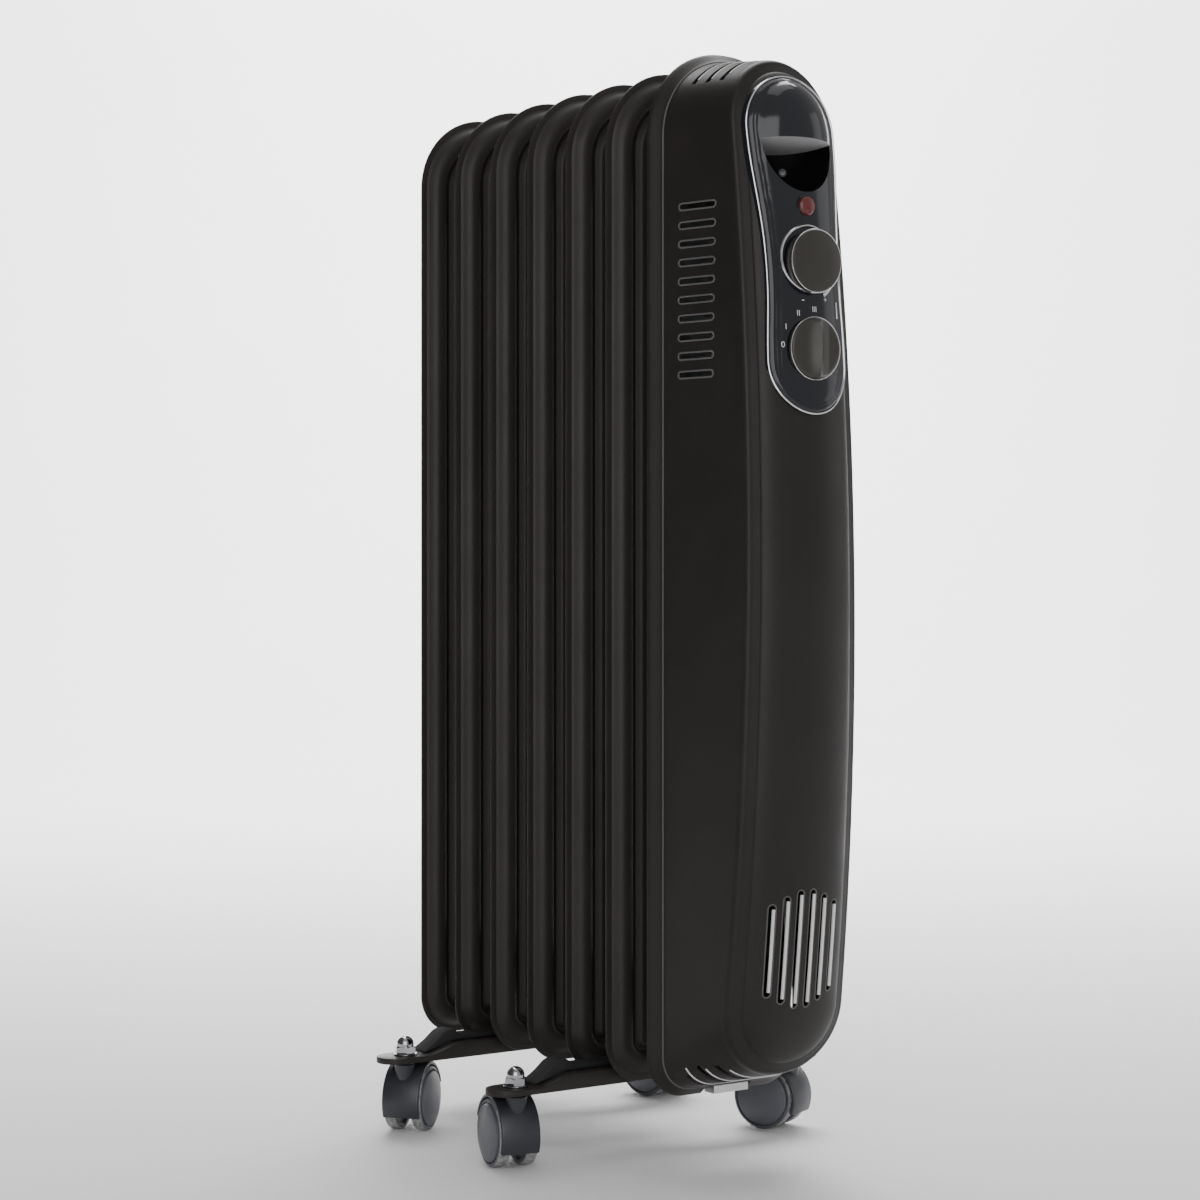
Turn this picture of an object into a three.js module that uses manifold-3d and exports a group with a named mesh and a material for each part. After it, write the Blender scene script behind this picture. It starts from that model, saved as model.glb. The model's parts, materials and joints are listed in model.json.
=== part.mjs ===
// Oil filled radiator heater: seven pressed-steel fins on two header tubes, a bowed
// control cover on the front fin, and two foot brackets on four twin-wheel casters.
// Millimetres, +Z up. The control cover faces -Y and the fins are stacked along +Y.
// The origin is on the floor, under the middle of the whole heater.

import * as THREE from 'three';
import { mergeVertices } from 'three/addons/utils/BufferGeometryUtils.js';
import Module from 'manifold-3d';

const wasm = await Module();
wasm.setup();

// ---------------------------------------------------------------- driving dimensions

const GAP = 0.3; // left between pieces that touch
const FRONT_Y = -170.5; // the selector's grip
const REAR_Y = 170.5; // the closed ends of the headers

const FIN_COUNT = 7;
const FIN_PITCH = 40;
const FIN_1_Y = -79;
const FIN = { halfWidth: 50.5, top: 619, bottom: 45, topRadius: 46, bottomRadius: 24 };
const FIN_RIM_HALF = 0.8;
const FIN_BODY_HALF = 7;
const FIN_RIM_WIDTH = 5;

const HEADER_RADIUS = 16;
const HEADER_BORE = 12;
const HEADER_TOP_Z = 571;
const HEADER_BOTTOM_Z = 93;
const HEADER_FRONT_Y = -92;

const SHEET = 1.2;
const FLANGE = { halfWidth: 52, top: 624, bottom: 43.5, topRadius: 50, bottomRadius: 24 };
const FLANGE_BACK_Y = -80.5;
const FLANGE_EDGE = 1.5;
const WALL_FRONT_Y = -89;
const WALL_INSET = 5.5;
const DOME = { halfWidth: 38.5, top: 614.6, bottom: 59.5 };
const DOME_TAPER = 0.0105; // half width lost for each millimetre of height
const BOW = { frontY: -147.5, middleZ: 325, radius: 1855 };
const BEAD = { width: 3, depth: 5 };
const VALLEY = { width: 7.5, depth: 7 };
const CROWN_DEPTH = 15.8;

const PANEL_PROUD = 3.5;
const TRIM_WIDTH = 1.3;
const PANEL_SEAT_WIDTH = 4; // how far the panel laps over the cover's opening
const POCKET = { z: 568, halfWidth: 23.5, height: 29, backY: -118, wall: 1.2 };
const HOOD = { halfWidth: 27, depth: 18.5, height: 33, centreY: -137 };
const THERMOSTAT_Z = 501.3;
const THERMOSTAT_RING_Z = 502.9;
const SELECTOR_Z = 454.3;
const LAMP_Z = 531.5;
const THERMOSTAT_RADIUS = 16.5;
const SELECTOR_RADIUS = 17;
const SHAFT_RADIUS = 3;
const SHAFT_END_Y = -147;

const BRACKET = { front: -19, rear: 101 };
const BRACKET_HALF_LENGTH = 116;
const BRACKET_HALF_WIDTH = 11.5;
const BRACKET_SHEET = 2;
const BRACKET_BOTTOM = 42.6;
const ARM_TOP = 46.4;
const BRIDGE_TOP = 52;
const STEM_X = 98;
const STEM_RADIUS = 3;
const U_BOLT_X = 19.2;
const U_BOLT_RADIUS = 2.5;
const U_BOLT_END_Z = 43.5;
const HOLE_PLAY = 0.4;
const THROUGH_BRACKET = [30, 70]; // heights that a hole's cutter reaches past every foot part

const WHEEL_RADIUS = 19;
const WHEEL_INNER = 5; // the wheel's inner and outer face, along the axle
const WHEEL_OUTER = 14.8;
const AXLE_RADIUS = 3;
const CASTER_TRAIL = 12;
const CASTER_HOOD = { radius: 22, inner: 19.8, halfWidth: 11.5, webHalf: 4.6 };
// where each caster stands, and the way it points at rest, in degrees from +X towards +Y
const CASTERS = [
  { name: 'front_left', x: -STEM_X, y: BRACKET.front, heading: -102.5 },
  { name: 'front_right', x: STEM_X, y: BRACKET.front, heading: -66 },
  { name: 'rear_left', x: -STEM_X, y: BRACKET.rear, heading: -141 },
  { name: 'rear_right', x: STEM_X, y: BRACKET.rear, heading: -75 },
];

// ---------------------------------------------------------------- materials

function finish(color, roughness, metalness = 0) {
  return () => new THREE.MeshStandardMaterial({ color, roughness, metalness });
}

const finPaint = finish(0x3b3836, 0.5);
const coverPaint = finish(0x33302e, 0.45);
const glossBlack = finish(0x15161c, 0.12);
const knobPlastic = finish(0x4a4740, 0.35);
const casterPlastic = finish(0x4a4b52, 0.4);
const chrome = finish(0xd8d8da, 0.12, 1);
const zinc = finish(0xb8b9bc, 0.35, 1);
const rubber = finish(0x101010, 0.85);
const steel = finish(0x9a9b9e, 0.4, 1);
const phenolic = finish(0x3a2b22, 0.6);
const lampRed = finish(0xa03030, 0.2);

// ---------------------------------------------------------------- solids

function bareGeometry(geometry) {
  const bare = geometry.clone();
  bare.deleteAttribute('normal');
  bare.deleteAttribute('uv');
  return bare;
}

function toSolid(geometry) {
  const merged = mergeVertices(bareGeometry(geometry), 1e-4);
  const vertProperties = new Float32Array(merged.attributes.position.array);
  const triVerts = new Uint32Array(merged.index.array);
  return new wasm.Manifold(new wasm.Mesh({ numProp: 3, vertProperties, triVerts }));
}

function toGeometry(solid) {
  const mesh = solid.getMesh();
  const geometry = new THREE.BufferGeometry();
  geometry.setAttribute('position', new THREE.BufferAttribute(mesh.vertProperties, 3));
  geometry.setIndex(new THREE.BufferAttribute(mesh.triVerts, 1));
  return geometry;
}

function join(first, ...others) {
  return toGeometry(others.reduce((sum, next) => sum.add(toSolid(next)), toSolid(first)));
}

function cut(body, ...tools) {
  return toGeometry(tools.reduce((rest, tool) => rest.subtract(toSolid(tool)), toSolid(body)));
}

function common(first, second) {
  return toGeometry(toSolid(first).intersect(toSolid(second)));
}

function box(x0, x1, y0, y1, z0, z1) {
  const geometry = new THREE.BoxGeometry(x1 - x0, y1 - y0, z1 - z0);
  return geometry.translate((x0 + x1) / 2, (y0 + y1) / 2, (z0 + z1) / 2);
}

// a cylinder along Y, from y0 to y1, about the line through x, z
function rod(x, z, radius, y0, y1, segments = 16) {
  const geometry = new THREE.CylinderGeometry(radius, radius, y1 - y0, segments);
  return geometry.translate(x, (y0 + y1) / 2, z);
}

// a cylinder along Z, from z0 to z1, about the line through x, y
function post(x, y, radius, z0, z1, segments = 12) {
  const geometry = new THREE.CylinderGeometry(radius, radius, z1 - z0, segments);
  return geometry.rotateX(Math.PI / 2).translate(x, y, (z0 + z1) / 2);
}

// an outline in X and Z, extruded along Y from y0 to y1
function slab(shape, y0, y1, curveSegments = 6) {
  const settings = { depth: y1 - y0, bevelEnabled: false, curveSegments };
  return new THREE.ExtrudeGeometry(shape, settings).rotateX(Math.PI / 2).translate(0, y1, 0);
}

function shapeOf(points) {
  return new THREE.Shape(points.map(([x, z]) => new THREE.Vector2(x, z)));
}

function signedVolume(geometry) {
  const { position } = geometry.attributes;
  const corner = [0, 1, 2].map(() => new THREE.Vector3());
  let volume = 0;
  for (let i = 0; i < geometry.index.count; i += 3) {
    corner.forEach((point, k) => point.fromBufferAttribute(position, geometry.index.getX(i + k)));
    volume += corner[0].dot(corner[1].clone().cross(corner[2])) / 6;
  }
  return volume;
}

// turns every face of a closed geometry outwards
function outward(geometry) {
  if (signedVolume(geometry) > 0) return geometry;
  const { index } = geometry;
  for (let i = 0; i < index.count; i += 3) {
    const last = index.getX(i + 2);
    index.setX(i + 2, index.getX(i));
    index.setX(i, last);
  }
  return geometry;
}

// a round piece about +Y: the profile is pairs of radius and y, from the axis to the axis
function turned(profile, segments = 20) {
  const points = profile.map(([radius, y]) => new THREE.Vector2(radius, y));
  return outward(new THREE.LatheGeometry(points, segments, Math.PI / segments));
}

// a closed skin over rings of points: each ring's second half mirrors its first half
function loft(rings) {
  const count = rings[0].length;
  const indices = [];
  const at = (r, i) => r * count + ((i + count) % count);
  for (let r = 0; r + 1 < rings.length; r += 1) {
    for (let i = 0; i < count; i += 1) {
      indices.push(at(r, i), at(r, i + 1), at(r + 1, i));
      indices.push(at(r, i + 1), at(r + 1, i + 1), at(r + 1, i));
    }
  }
  const last = rings.length - 1;
  for (let i = 0; i + 1 < count / 2; i += 1) {
    const mirror = count - 1 - i;
    indices.push(at(0, i), at(0, mirror), at(0, i + 1));
    indices.push(at(0, i + 1), at(0, mirror), at(0, mirror - 1));
    indices.push(at(last, i), at(last, i + 1), at(last, mirror));
    indices.push(at(last, i + 1), at(last, mirror - 1), at(last, mirror));
  }
  const geometry = new THREE.BufferGeometry();
  const positions = rings.flat().flatMap((point) => point.toArray());
  geometry.setAttribute('position', new THREE.Float32BufferAttribute(positions, 3));
  geometry.setIndex(indices);
  return outward(geometry);
}

// a tall outline with round corners, as points x, z: up the right side and down the left
function tallOutline({ halfWidth, top, bottom, topRadius, bottomRadius }, sideSteps) {
  const arcSteps = 5;
  const right = [];
  for (let i = 0; i <= arcSteps; i += 1) {
    const angle = (Math.PI / 2) * (i / arcSteps - 1);
    const x = halfWidth - bottomRadius + bottomRadius * Math.cos(angle);
    right.push([x, bottom + bottomRadius + bottomRadius * Math.sin(angle)]);
  }
  for (let i = 1; i < sideSteps; i += 1) {
    const share = i / sideSteps;
    right.push([halfWidth, (bottom + bottomRadius) * (1 - share) + (top - topRadius) * share]);
  }
  for (let i = 0; i <= arcSteps; i += 1) {
    const angle = (Math.PI / 2) * (i / arcSteps);
    const x = halfWidth - topRadius + topRadius * Math.cos(angle);
    right.push([x, top - topRadius + topRadius * Math.sin(angle)]);
  }
  return [...right, ...right.map(([x, z]) => [-x, z]).reverse()];
}

function inset(outline, amount) {
  return {
    halfWidth: outline.halfWidth - amount,
    top: outline.top - amount,
    bottom: outline.bottom + amount,
    topRadius: outline.topRadius - amount,
    bottomRadius: outline.bottomRadius - amount,
  };
}

function flatRing(outline, y, sideSteps) {
  return tallOutline(outline, sideSteps).map(([x, z]) => new THREE.Vector3(x, y, z));
}

// ---------------------------------------------------------------- the scene graph

const heater = new THREE.Group();
heater.name = 'oil_filled_radiator';

function add(name, geometry, material, parent = heater) {
  const mesh = new THREE.Mesh(geometry, material());
  mesh.name = name;
  parent.add(mesh);
  return mesh;
}

// ---------------------------------------------------------------- fins and headers

function finGeometry() {
  const ring = (amount, y) => flatRing(inset(FIN, amount), y, 1);
  const plate = loft([
    ring(2 * FIN_RIM_WIDTH, -FIN_BODY_HALF),
    ring(FIN_RIM_WIDTH, -FIN_RIM_HALF),
    ring(0, -FIN_RIM_HALF),
    ring(0, FIN_RIM_HALF),
    ring(FIN_RIM_WIDTH, FIN_RIM_HALF),
    ring(2 * FIN_RIM_WIDTH, FIN_BODY_HALF),
  ]);
  const bores = [HEADER_TOP_Z, HEADER_BOTTOM_Z].map((z) => rod(0, z, HEADER_RADIUS + GAP, -20, 20));
  return cut(plate, ...bores);
}

for (let i = 0; i < FIN_COUNT; i += 1) {
  add(`fin_${i + 1}`, finGeometry(), finPaint).position.y = FIN_1_Y + i * FIN_PITCH;
}

// a header tube is open at the front and closed at the rear
function headerTube(z) {
  const endWall = 3;
  return cut(
    rod(0, z, HEADER_RADIUS, HEADER_FRONT_Y, REAR_Y),
    rod(0, z, HEADER_BORE, HEADER_FRONT_Y - 1, REAR_Y - endWall),
  );
}

add('top_header_tube', headerTube(HEADER_TOP_Z), finPaint);
add('bottom_header_tube', headerTube(HEADER_BOTTOM_Z), finPaint);

function fillerPlug() {
  const shank = rod(0, HEADER_TOP_Z, HEADER_BORE - GAP, HEADER_FRONT_Y - 1, HEADER_FRONT_Y + 12);
  const head = rod(0, HEADER_TOP_Z, 14, HEADER_FRONT_Y - 7, HEADER_FRONT_Y - GAP, 6);
  return join(shank, head);
}

add('oil_filler_plug', fillerPlug(), steel);

// two heating rods inside the bottom header, on one hexagonal boss with two terminals
function heatingElement() {
  const bossFront = HEADER_FRONT_Y - 8;
  const pieces = [rod(0, HEADER_BOTTOM_Z, 16, bossFront, HEADER_FRONT_Y - GAP, 6)];
  [-1, 1].forEach((side) => {
    pieces.push(rod(side * 5, HEADER_BOTTOM_Z, 3.2, HEADER_FRONT_Y - 1, 150, 10));
    pieces.push(rod(side * 6, HEADER_BOTTOM_Z, 2, bossFront - 9, bossFront + 1, 8));
  });
  return join(...pieces);
}

add('heating_element', heatingElement(), steel);

// ---------------------------------------------------------------- cover

function domeHalfWidth(z) {
  return DOME.halfWidth + (BOW.middleZ - z) * DOME_TAPER;
}

function foldY(z) {
  return BOW.frontY + (z - BOW.middleZ) ** 2 / (2 * BOW.radius);
}

// how far the front stands out of its outer fold, at a distance in from that fold
function crown(distance) {
  if (distance < BEAD.width) {
    return BEAD.depth * Math.sqrt(1 - (1 - distance / BEAD.width) ** 2);
  }
  if (distance < VALLEY.width) {
    const share = (distance - BEAD.width) / (VALLEY.width - BEAD.width);
    return BEAD.depth + (VALLEY.depth - BEAD.depth) * share;
  }
  const across = (DOME.halfWidth - distance) / (DOME.halfWidth - VALLEY.width);
  return VALLEY.depth + (CROWN_DEPTH - VALLEY.depth) * (1 - across ** 2) ** 0.7;
}

const SIDE_STEPS = 5;

// a ring on the front of the cover, at a distance in from its fold
function domeRing(distance, lift = 0) {
  const narrowest = 0.3; // half width that the corner arcs leave between them
  const halfWidth = DOME.halfWidth - distance;
  const outline = {
    halfWidth,
    top: DOME.top - distance,
    bottom: DOME.bottom + distance,
    topRadius: halfWidth - narrowest,
    bottomRadius: halfWidth - narrowest,
  };
  return tallOutline(outline, SIDE_STEPS).map(([x, z]) => {
    const share = domeHalfWidth(z) / DOME.halfWidth;
    return new THREE.Vector3(x * share, foldY(z) - crown(distance) + lift, z);
  });
}

const DOME_STEPS = [0, 1, 3, 7.5, 13, 21, 37.5];

// the cover's outer shape as one closed solid, moved forwards by an amount
function coverSkin(forward) {
  const wall = inset(FLANGE, WALL_INSET);
  const skin = loft([
    flatRing(FLANGE, FLANGE_BACK_Y, SIDE_STEPS),
    flatRing(FLANGE, FLANGE_BACK_Y - FLANGE_EDGE, SIDE_STEPS),
    flatRing(wall, WALL_FRONT_Y, SIDE_STEPS),
    ...DOME_STEPS.map((distance) => domeRing(distance)),
  ]);
  return skin.translate(0, -forward, 0);
}

function coverHollow() {
  const wall = inset(FLANGE, WALL_INSET + SHEET);
  return loft([
    flatRing(inset(FLANGE, SHEET), FLANGE_BACK_Y + 5, SIDE_STEPS),
    flatRing(inset(FLANGE, SHEET), FLANGE_BACK_Y - FLANGE_EDGE, SIDE_STEPS),
    flatRing(wall, WALL_FRONT_Y, SIDE_STEPS),
    domeRing(SHEET, crown(SHEET)),
    ...[VALLEY.width, 21, 37.5].map((distance) => domeRing(distance, SHEET)),
  ]);
}

const GRILLE = { z: 131, width: 4, slots: [[4.3, 32], [12.8, 29], [21.3, 25]] };
const LOUVRES = { count: 10, top: 535, pitch: 10.2, height: 3, frontY: -125, backY: -100 };
const CROSS_VENTS = { ys: [-99, -108, -117.5], halfThickness: 1.5, halfLength: 38 };
const NOTCH = { halfWidth: 16, top: 48.4 };

function coverOpenings() {
  const tools = [slab(panelShape(-PANEL_SEAT_WIDTH), FRONT_Y - 10, -100), glandRod(8.3, -8, 8)];
  GRILLE.slots.forEach(([x, half]) => [-x, x].forEach((middle) => {
    const left = middle - GRILLE.width / 2;
    tools.push(box(left, left + GRILLE.width, FRONT_Y, -120, GRILLE.z - half, GRILLE.z + half));
  }));
  for (let i = 0; i < LOUVRES.count; i += 1) {
    const z = LOUVRES.top - i * LOUVRES.pitch;
    tools.push(box(-60, -35, LOUVRES.frontY, LOUVRES.backY, z - LOUVRES.height, z));
    tools.push(box(35, 60, LOUVRES.frontY, LOUVRES.backY, z - LOUVRES.height, z));
  }
  CROSS_VENTS.ys.forEach((y) => {
    const { halfLength, halfThickness } = CROSS_VENTS;
    tools.push(box(-halfLength, halfLength, y - halfThickness, y + halfThickness, 600, 630));
    tools.push(box(-halfLength, halfLength, y - halfThickness, y + halfThickness, 40, 67));
  });
  tools.push(box(-NOTCH.halfWidth, NOTCH.halfWidth, -95, -75, 38, NOTCH.top));
  return tools;
}

// ---------------------------------------------------------------- cord gland

const GLAND = { x: 43.3, y: -112, z: 120, turn: -7.8 };

// a cylinder square to the cover's right wall, measured outwards from the wall
function glandRod(radius, from, to) {
  const geometry = new THREE.CylinderGeometry(radius, radius, to - from, 16);
  geometry.rotateZ(Math.PI / 2).translate((from + to) / 2, 0, 0);
  return geometry.rotateZ(THREE.MathUtils.degToRad(GLAND.turn)).translate(GLAND.x, GLAND.y, GLAND.z);
}

function cordGland() {
  const flange = glandRod(10.5, 0.5, 2.5);
  const sleeve = glandRod(7.8, -8, 1);
  const nose = glandRod(5.8, 2, 4.2);
  return cut(join(sleeve, flange, nose), glandRod(3.6, -12, 8));
}

// ---------------------------------------------------------------- control panel

// the teardrop outline of the panel, grown by an amount all round
function panelShape(grow) {
  const top = 30.4 + grow;
  const waist = 25.2 + grow;
  const low = 26.8 + grow;
  const shape = new THREE.Shape();
  shape.absarc(0, 573.5, top, 0, Math.PI, false);
  shape.bezierCurveTo(-top, 546, -waist, 528, -waist, 493);
  shape.bezierCurveTo(-waist, 475, -low, 463, -low, 447);
  shape.absellipse(0, 447, low, 28 + grow, Math.PI, 2 * Math.PI, false);
  shape.bezierCurveTo(low, 463, waist, 475, waist, 493);
  shape.bezierCurveTo(waist, 528, top, 546, top, 573.5);
  return shape;
}

// the hand pocket's outline: straight above, half an oval below
function pocketShape(grow) {
  const half = POCKET.halfWidth + grow;
  const shape = new THREE.Shape();
  shape.moveTo(half, POCKET.z + grow);
  shape.lineTo(-half, POCKET.z + grow);
  shape.absellipse(0, POCKET.z, half, POCKET.height + grow, Math.PI, 2 * Math.PI, false);
  return shape;
}

// a layer that follows the cover's front inside an outline, from one height to another
function frontLayer(shape, from, to) {
  return cut(common(slab(shape, FRONT_Y - 10, -100), coverSkin(to)), coverSkin(from));
}

// the furthest forward that the panel's face comes at a height
function panelFrontY(z) {
  return foldY(z) - CROWN_DEPTH - PANEL_PROUD;
}

const THERMOSTAT_SEAT_Y = panelFrontY(THERMOSTAT_Z) - 1.7;
const SELECTOR_SEAT_Y = panelFrontY(SELECTOR_Z) - 0.9;
const LAMP_SEAT_Y = panelFrontY(LAMP_Z) - 0.6;

function hoodBulge() {
  const bulge = new THREE.SphereGeometry(1, 16, 8).rotateX(Math.PI / 2);
  bulge.scale(HOOD.halfWidth, HOOD.depth, HOOD.height).translate(0, HOOD.centreY, POCKET.z);
  const upper = box(-40, 40, FRONT_Y, HOOD.centreY + 5, POCKET.z, 620);
  return cut(common(bulge, upper), coverSkin(GAP));
}

function pocketTub() {
  const { wall, backY } = POCKET;
  return common(slab(pocketShape(wall), FRONT_Y, backY), coverSkin(PANEL_PROUD - 1));
}

function controlPanel() {
  const bossDepth = 4.5;
  const boss = (z, radius, y) => rod(0, z, radius, y, y + bossDepth, 20);
  const body = join(
    frontLayer(panelShape(-TRIM_WIDTH - GAP), GAP, PANEL_PROUD),
    pocketTub(),
    hoodBulge(),
    boss(THERMOSTAT_RING_Z, 19.4, THERMOSTAT_SEAT_Y),
    boss(SELECTOR_Z, 18, SELECTOR_SEAT_Y),
    boss(LAMP_Z, 6.3, LAMP_SEAT_Y),
  );
  const hole = (x, z, radius) => rod(x, z, radius, FRONT_Y - 10, -110, 8);
  return cut(
    body,
    slab(pocketShape(0), FRONT_Y - 10, POCKET.backY - POCKET.wall),
    hole(0, THERMOSTAT_Z, SHAFT_RADIUS + 0.8),
    hole(0, SELECTOR_Z, SHAFT_RADIUS + 0.8),
    rod(0, LAMP_Z, 4.4, FRONT_Y - 10, -110, 20),
    ...SCREWS.map(({ x, z }) => hole(x, z, 1.6)),
  );
}

const SCREWS = [
  { name: 'left_panel_screw', x: -13, z: 557 },
  { name: 'right_panel_screw', x: 13, z: 551 },
];

function panelScrew() {
  const head = POCKET.backY - POCKET.wall;
  return turned([
    [0, head + 7],
    [1.3, head + 6],
    [1.3, head - GAP],
    [2.8, head - GAP],
    [2.8, head - 1],
    [1.8, head - 2],
    [0, head - 2],
  ], 8);
}

add('control_panel', controlPanel(), glossBlack);
add('panel_trim', cut(
  frontLayer(panelShape(0), GAP, PANEL_PROUD - 0.8),
  slab(panelShape(-TRIM_WIDTH), FRONT_Y - 20, -90),
), chrome);
add('control_cover', cut(coverSkin(0), coverHollow(), ...coverOpenings()), coverPaint);
add('cord_gland', cordGland(), rubber);
SCREWS.forEach(({ name, x, z }) => {
  add(name, panelScrew(), steel).position.set(x, 0, z);
});

function lampLens() {
  const seat = LAMP_SEAT_Y - GAP;
  return turned([
    [0, seat + 8],
    [4, seat + 8],
    [4, seat],
    [5.5, seat],
    [5.5, seat - 1],
    [4.4, seat - 2.2],
    [2.4, seat - 3],
    [0, seat - 3.3],
  ], 20);
}

add('lamp_lens', lampLens(), lampRed).position.z = LAMP_Z;

// ---------------------------------------------------------------- knobs and switches

function thermostatRing() {
  const y = THERMOSTAT_SEAT_Y - GAP;
  return cut(rod(0, 0, 18.6, y - 1.2, y, 28), rod(0, 0, 17.2, y - 3, y + 3, 28));
}

// a round knob: its back at y, its face standing out by height, and a bore for its shaft
function knobProfile(y, radius, height) {
  const bore = SHAFT_RADIUS + GAP;
  return [
    [0, y - height + 2],
    [bore, y - height + 2],
    [bore, y],
    [radius - 0.5, y],
    [radius, y - 0.6],
    [radius, y - height + 1.6],
    [radius - 0.8, y - height + 0.8],
    [radius * 0.5, y - height + 0.15],
    [0, y - height],
  ];
}

const THERMOSTAT_BACK_Y = THERMOSTAT_SEAT_Y - 1.9;
const THERMOSTAT_HEIGHT = 5;
const SELECTOR_BACK_Y = SELECTOR_SEAT_Y - 0.6;
const SELECTOR_HEIGHT = 4;

// the selector's disc carries an upright lens-shaped grip
function selectorKnob() {
  const grip = new THREE.Shape();
  grip.moveTo(0, -15.5);
  grip.quadraticCurveTo(7.5, 0, 0, 15.5);
  grip.quadraticCurveTo(-7.5, 0, 0, -15.5);
  return join(
    turned(knobProfile(SELECTOR_BACK_Y, SELECTOR_RADIUS, SELECTOR_HEIGHT)),
    slab(grip, FRONT_Y, SELECTOR_BACK_Y - SELECTOR_HEIGHT + 1.5, 5),
  );
}

function knobShaft(backY, height) {
  return rod(0, 0, SHAFT_RADIUS, backY - height + 2 + GAP, SHAFT_END_Y, 12);
}

function switchBody(halfWidth, halfHeight, frontY, backY) {
  const block = box(-halfWidth, halfWidth, frontY, backY, -halfHeight, halfHeight);
  return cut(block, rod(0, 0, SHAFT_RADIUS + GAP, frontY - 5, SHAFT_END_Y + 1, 12));
}

const THERMOSTAT_SHAFT = knobShaft(THERMOSTAT_BACK_Y, THERMOSTAT_HEIGHT);
add('thermostat_ring', thermostatRing(), chrome).position.z = THERMOSTAT_RING_Z;
add('thermostat_knob', turned(knobProfile(THERMOSTAT_BACK_Y, THERMOSTAT_RADIUS, THERMOSTAT_HEIGHT)),
  knobPlastic).position.z = THERMOSTAT_Z;
add('thermostat_shaft', THERMOSTAT_SHAFT, steel).position.z = THERMOSTAT_Z;
add('thermostat_body', switchBody(14, 14, -150.5, -130), phenolic).position.z = THERMOSTAT_Z;
add('selector_knob', selectorKnob(), knobPlastic).position.z = SELECTOR_Z;
add('selector_shaft', knobShaft(SELECTOR_BACK_Y, SELECTOR_HEIGHT), steel).position.z = SELECTOR_Z;
add('selector_switch', switchBody(12, 14, -153.5, -130), phenolic).position.z = SELECTOR_Z;

// ---------------------------------------------------------------- behind the cover

const PLATE_FRONT_Y = FIN_1_Y - FIN_BODY_HALF - GAP - 2;

add('mounting_plate', box(-36, 36, PLATE_FRONT_Y, PLATE_FRONT_Y + 2, 118, 548), zinc);

function thermalCutout() {
  const y = PLATE_FRONT_Y - GAP;
  const lugs = [-1, 1].map((side) => box(side * 5 - 2, side * 5 + 2, y - 14, y - 6, 249.6, 250.4));
  return join(rod(0, 250, 9, y - 8, y, 16), ...lugs);
}

add('thermal_cutout', thermalCutout(), steel);

function terminalBlock() {
  const y = PLATE_FRONT_Y - GAP;
  const wireHoles = [-11, 0, 11].map((x) => post(x, y - 7, 2.6, 160, 200, 8));
  return cut(box(-17, 17, y - 13, y, 172, 188), ...wireHoles);
}

add('terminal_block', terminalBlock(), phenolic);
add('cover_clip', box(-12, 12, -89, FLANGE_BACK_Y + GAP, 43.8, NOTCH.top - GAP), zinc);

// ---------------------------------------------------------------- foot brackets

const PAD_FRONT = -4.5; // the pad lies towards the rear edge of the bracket
const PAD_REAR = 9;
const RAMP = { low: 88, high: 66 }; // distances from the middle where the arm turns upwards

// the bracket's side view, lowered by an amount
function bracketProfile(lower) {
  const top = [
    [BRACKET_HALF_LENGTH + 4, ARM_TOP - lower],
    [RAMP.low, ARM_TOP - lower],
    [RAMP.high, BRIDGE_TOP - lower],
  ];
  const mirrored = top.map(([x, z]) => [-x, z]).reverse();
  const end = BRACKET_HALF_LENGTH + 4;
  return shapeOf([...top, ...mirrored, [-end, BRACKET_BOTTOM - lower], [end, BRACKET_BOTTOM - lower]]);
}

// a long plan outline with half-round ends, as a solid from the floor upwards
function roundEndedBar(halfLength, halfWidth) {
  const shape = new THREE.Shape();
  const reach = halfLength - halfWidth;
  shape.absarc(reach, 0, halfWidth, -Math.PI / 2, Math.PI / 2, false);
  shape.absarc(-reach, 0, halfWidth, Math.PI / 2, (3 * Math.PI) / 2, false);
  return new THREE.ExtrudeGeometry(shape, { depth: 80, bevelEnabled: false, curveSegments: 6 });
}

function footBracket() {
  const outerPlan = roundEndedBar(BRACKET_HALF_LENGTH, BRACKET_HALF_WIDTH);
  const innerPlan = roundEndedBar(
    BRACKET_HALF_LENGTH - BRACKET_SHEET,
    BRACKET_HALF_WIDTH - BRACKET_SHEET,
  );
  const outer = common(slab(bracketProfile(0), -20, 20), outerPlan);
  const inner = common(slab(bracketProfile(BRACKET_SHEET), -20, 20), innerPlan);
  const holes = [-1, 1].flatMap((side) => [
    post(side * STEM_X, 0, STEM_RADIUS + HOLE_PLAY, ...THROUGH_BRACKET, 8),
    post(side * U_BOLT_X, 0, U_BOLT_RADIUS + HOLE_PLAY, ...THROUGH_BRACKET, 8),
  ]);
  return cut(outer, inner, ...holes);
}

// a rubber strip along the top of the bracket, with a raised wedge at each end
function bracketPad() {
  const half = [
    [RAMP.low, ARM_TOP + GAP],
    [RAMP.low, ARM_TOP + 1.6],
    [72, 59],
    [66, 59],
    [60, BRIDGE_TOP + 2.5],
  ];
  const under = [[-RAMP.high, BRIDGE_TOP + GAP], [RAMP.high, BRIDGE_TOP + GAP]];
  const strip = shapeOf([...half, ...half.map(([x, z]) => [-x, z]).reverse(), ...under]);
  const legHoles = [-1, 1].map((side) => post(side * U_BOLT_X, 0, U_BOLT_RADIUS + HOLE_PLAY, ...THROUGH_BRACKET, 8));
  return cut(slab(strip, PAD_FRONT, PAD_REAR), ...legHoles);
}

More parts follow.
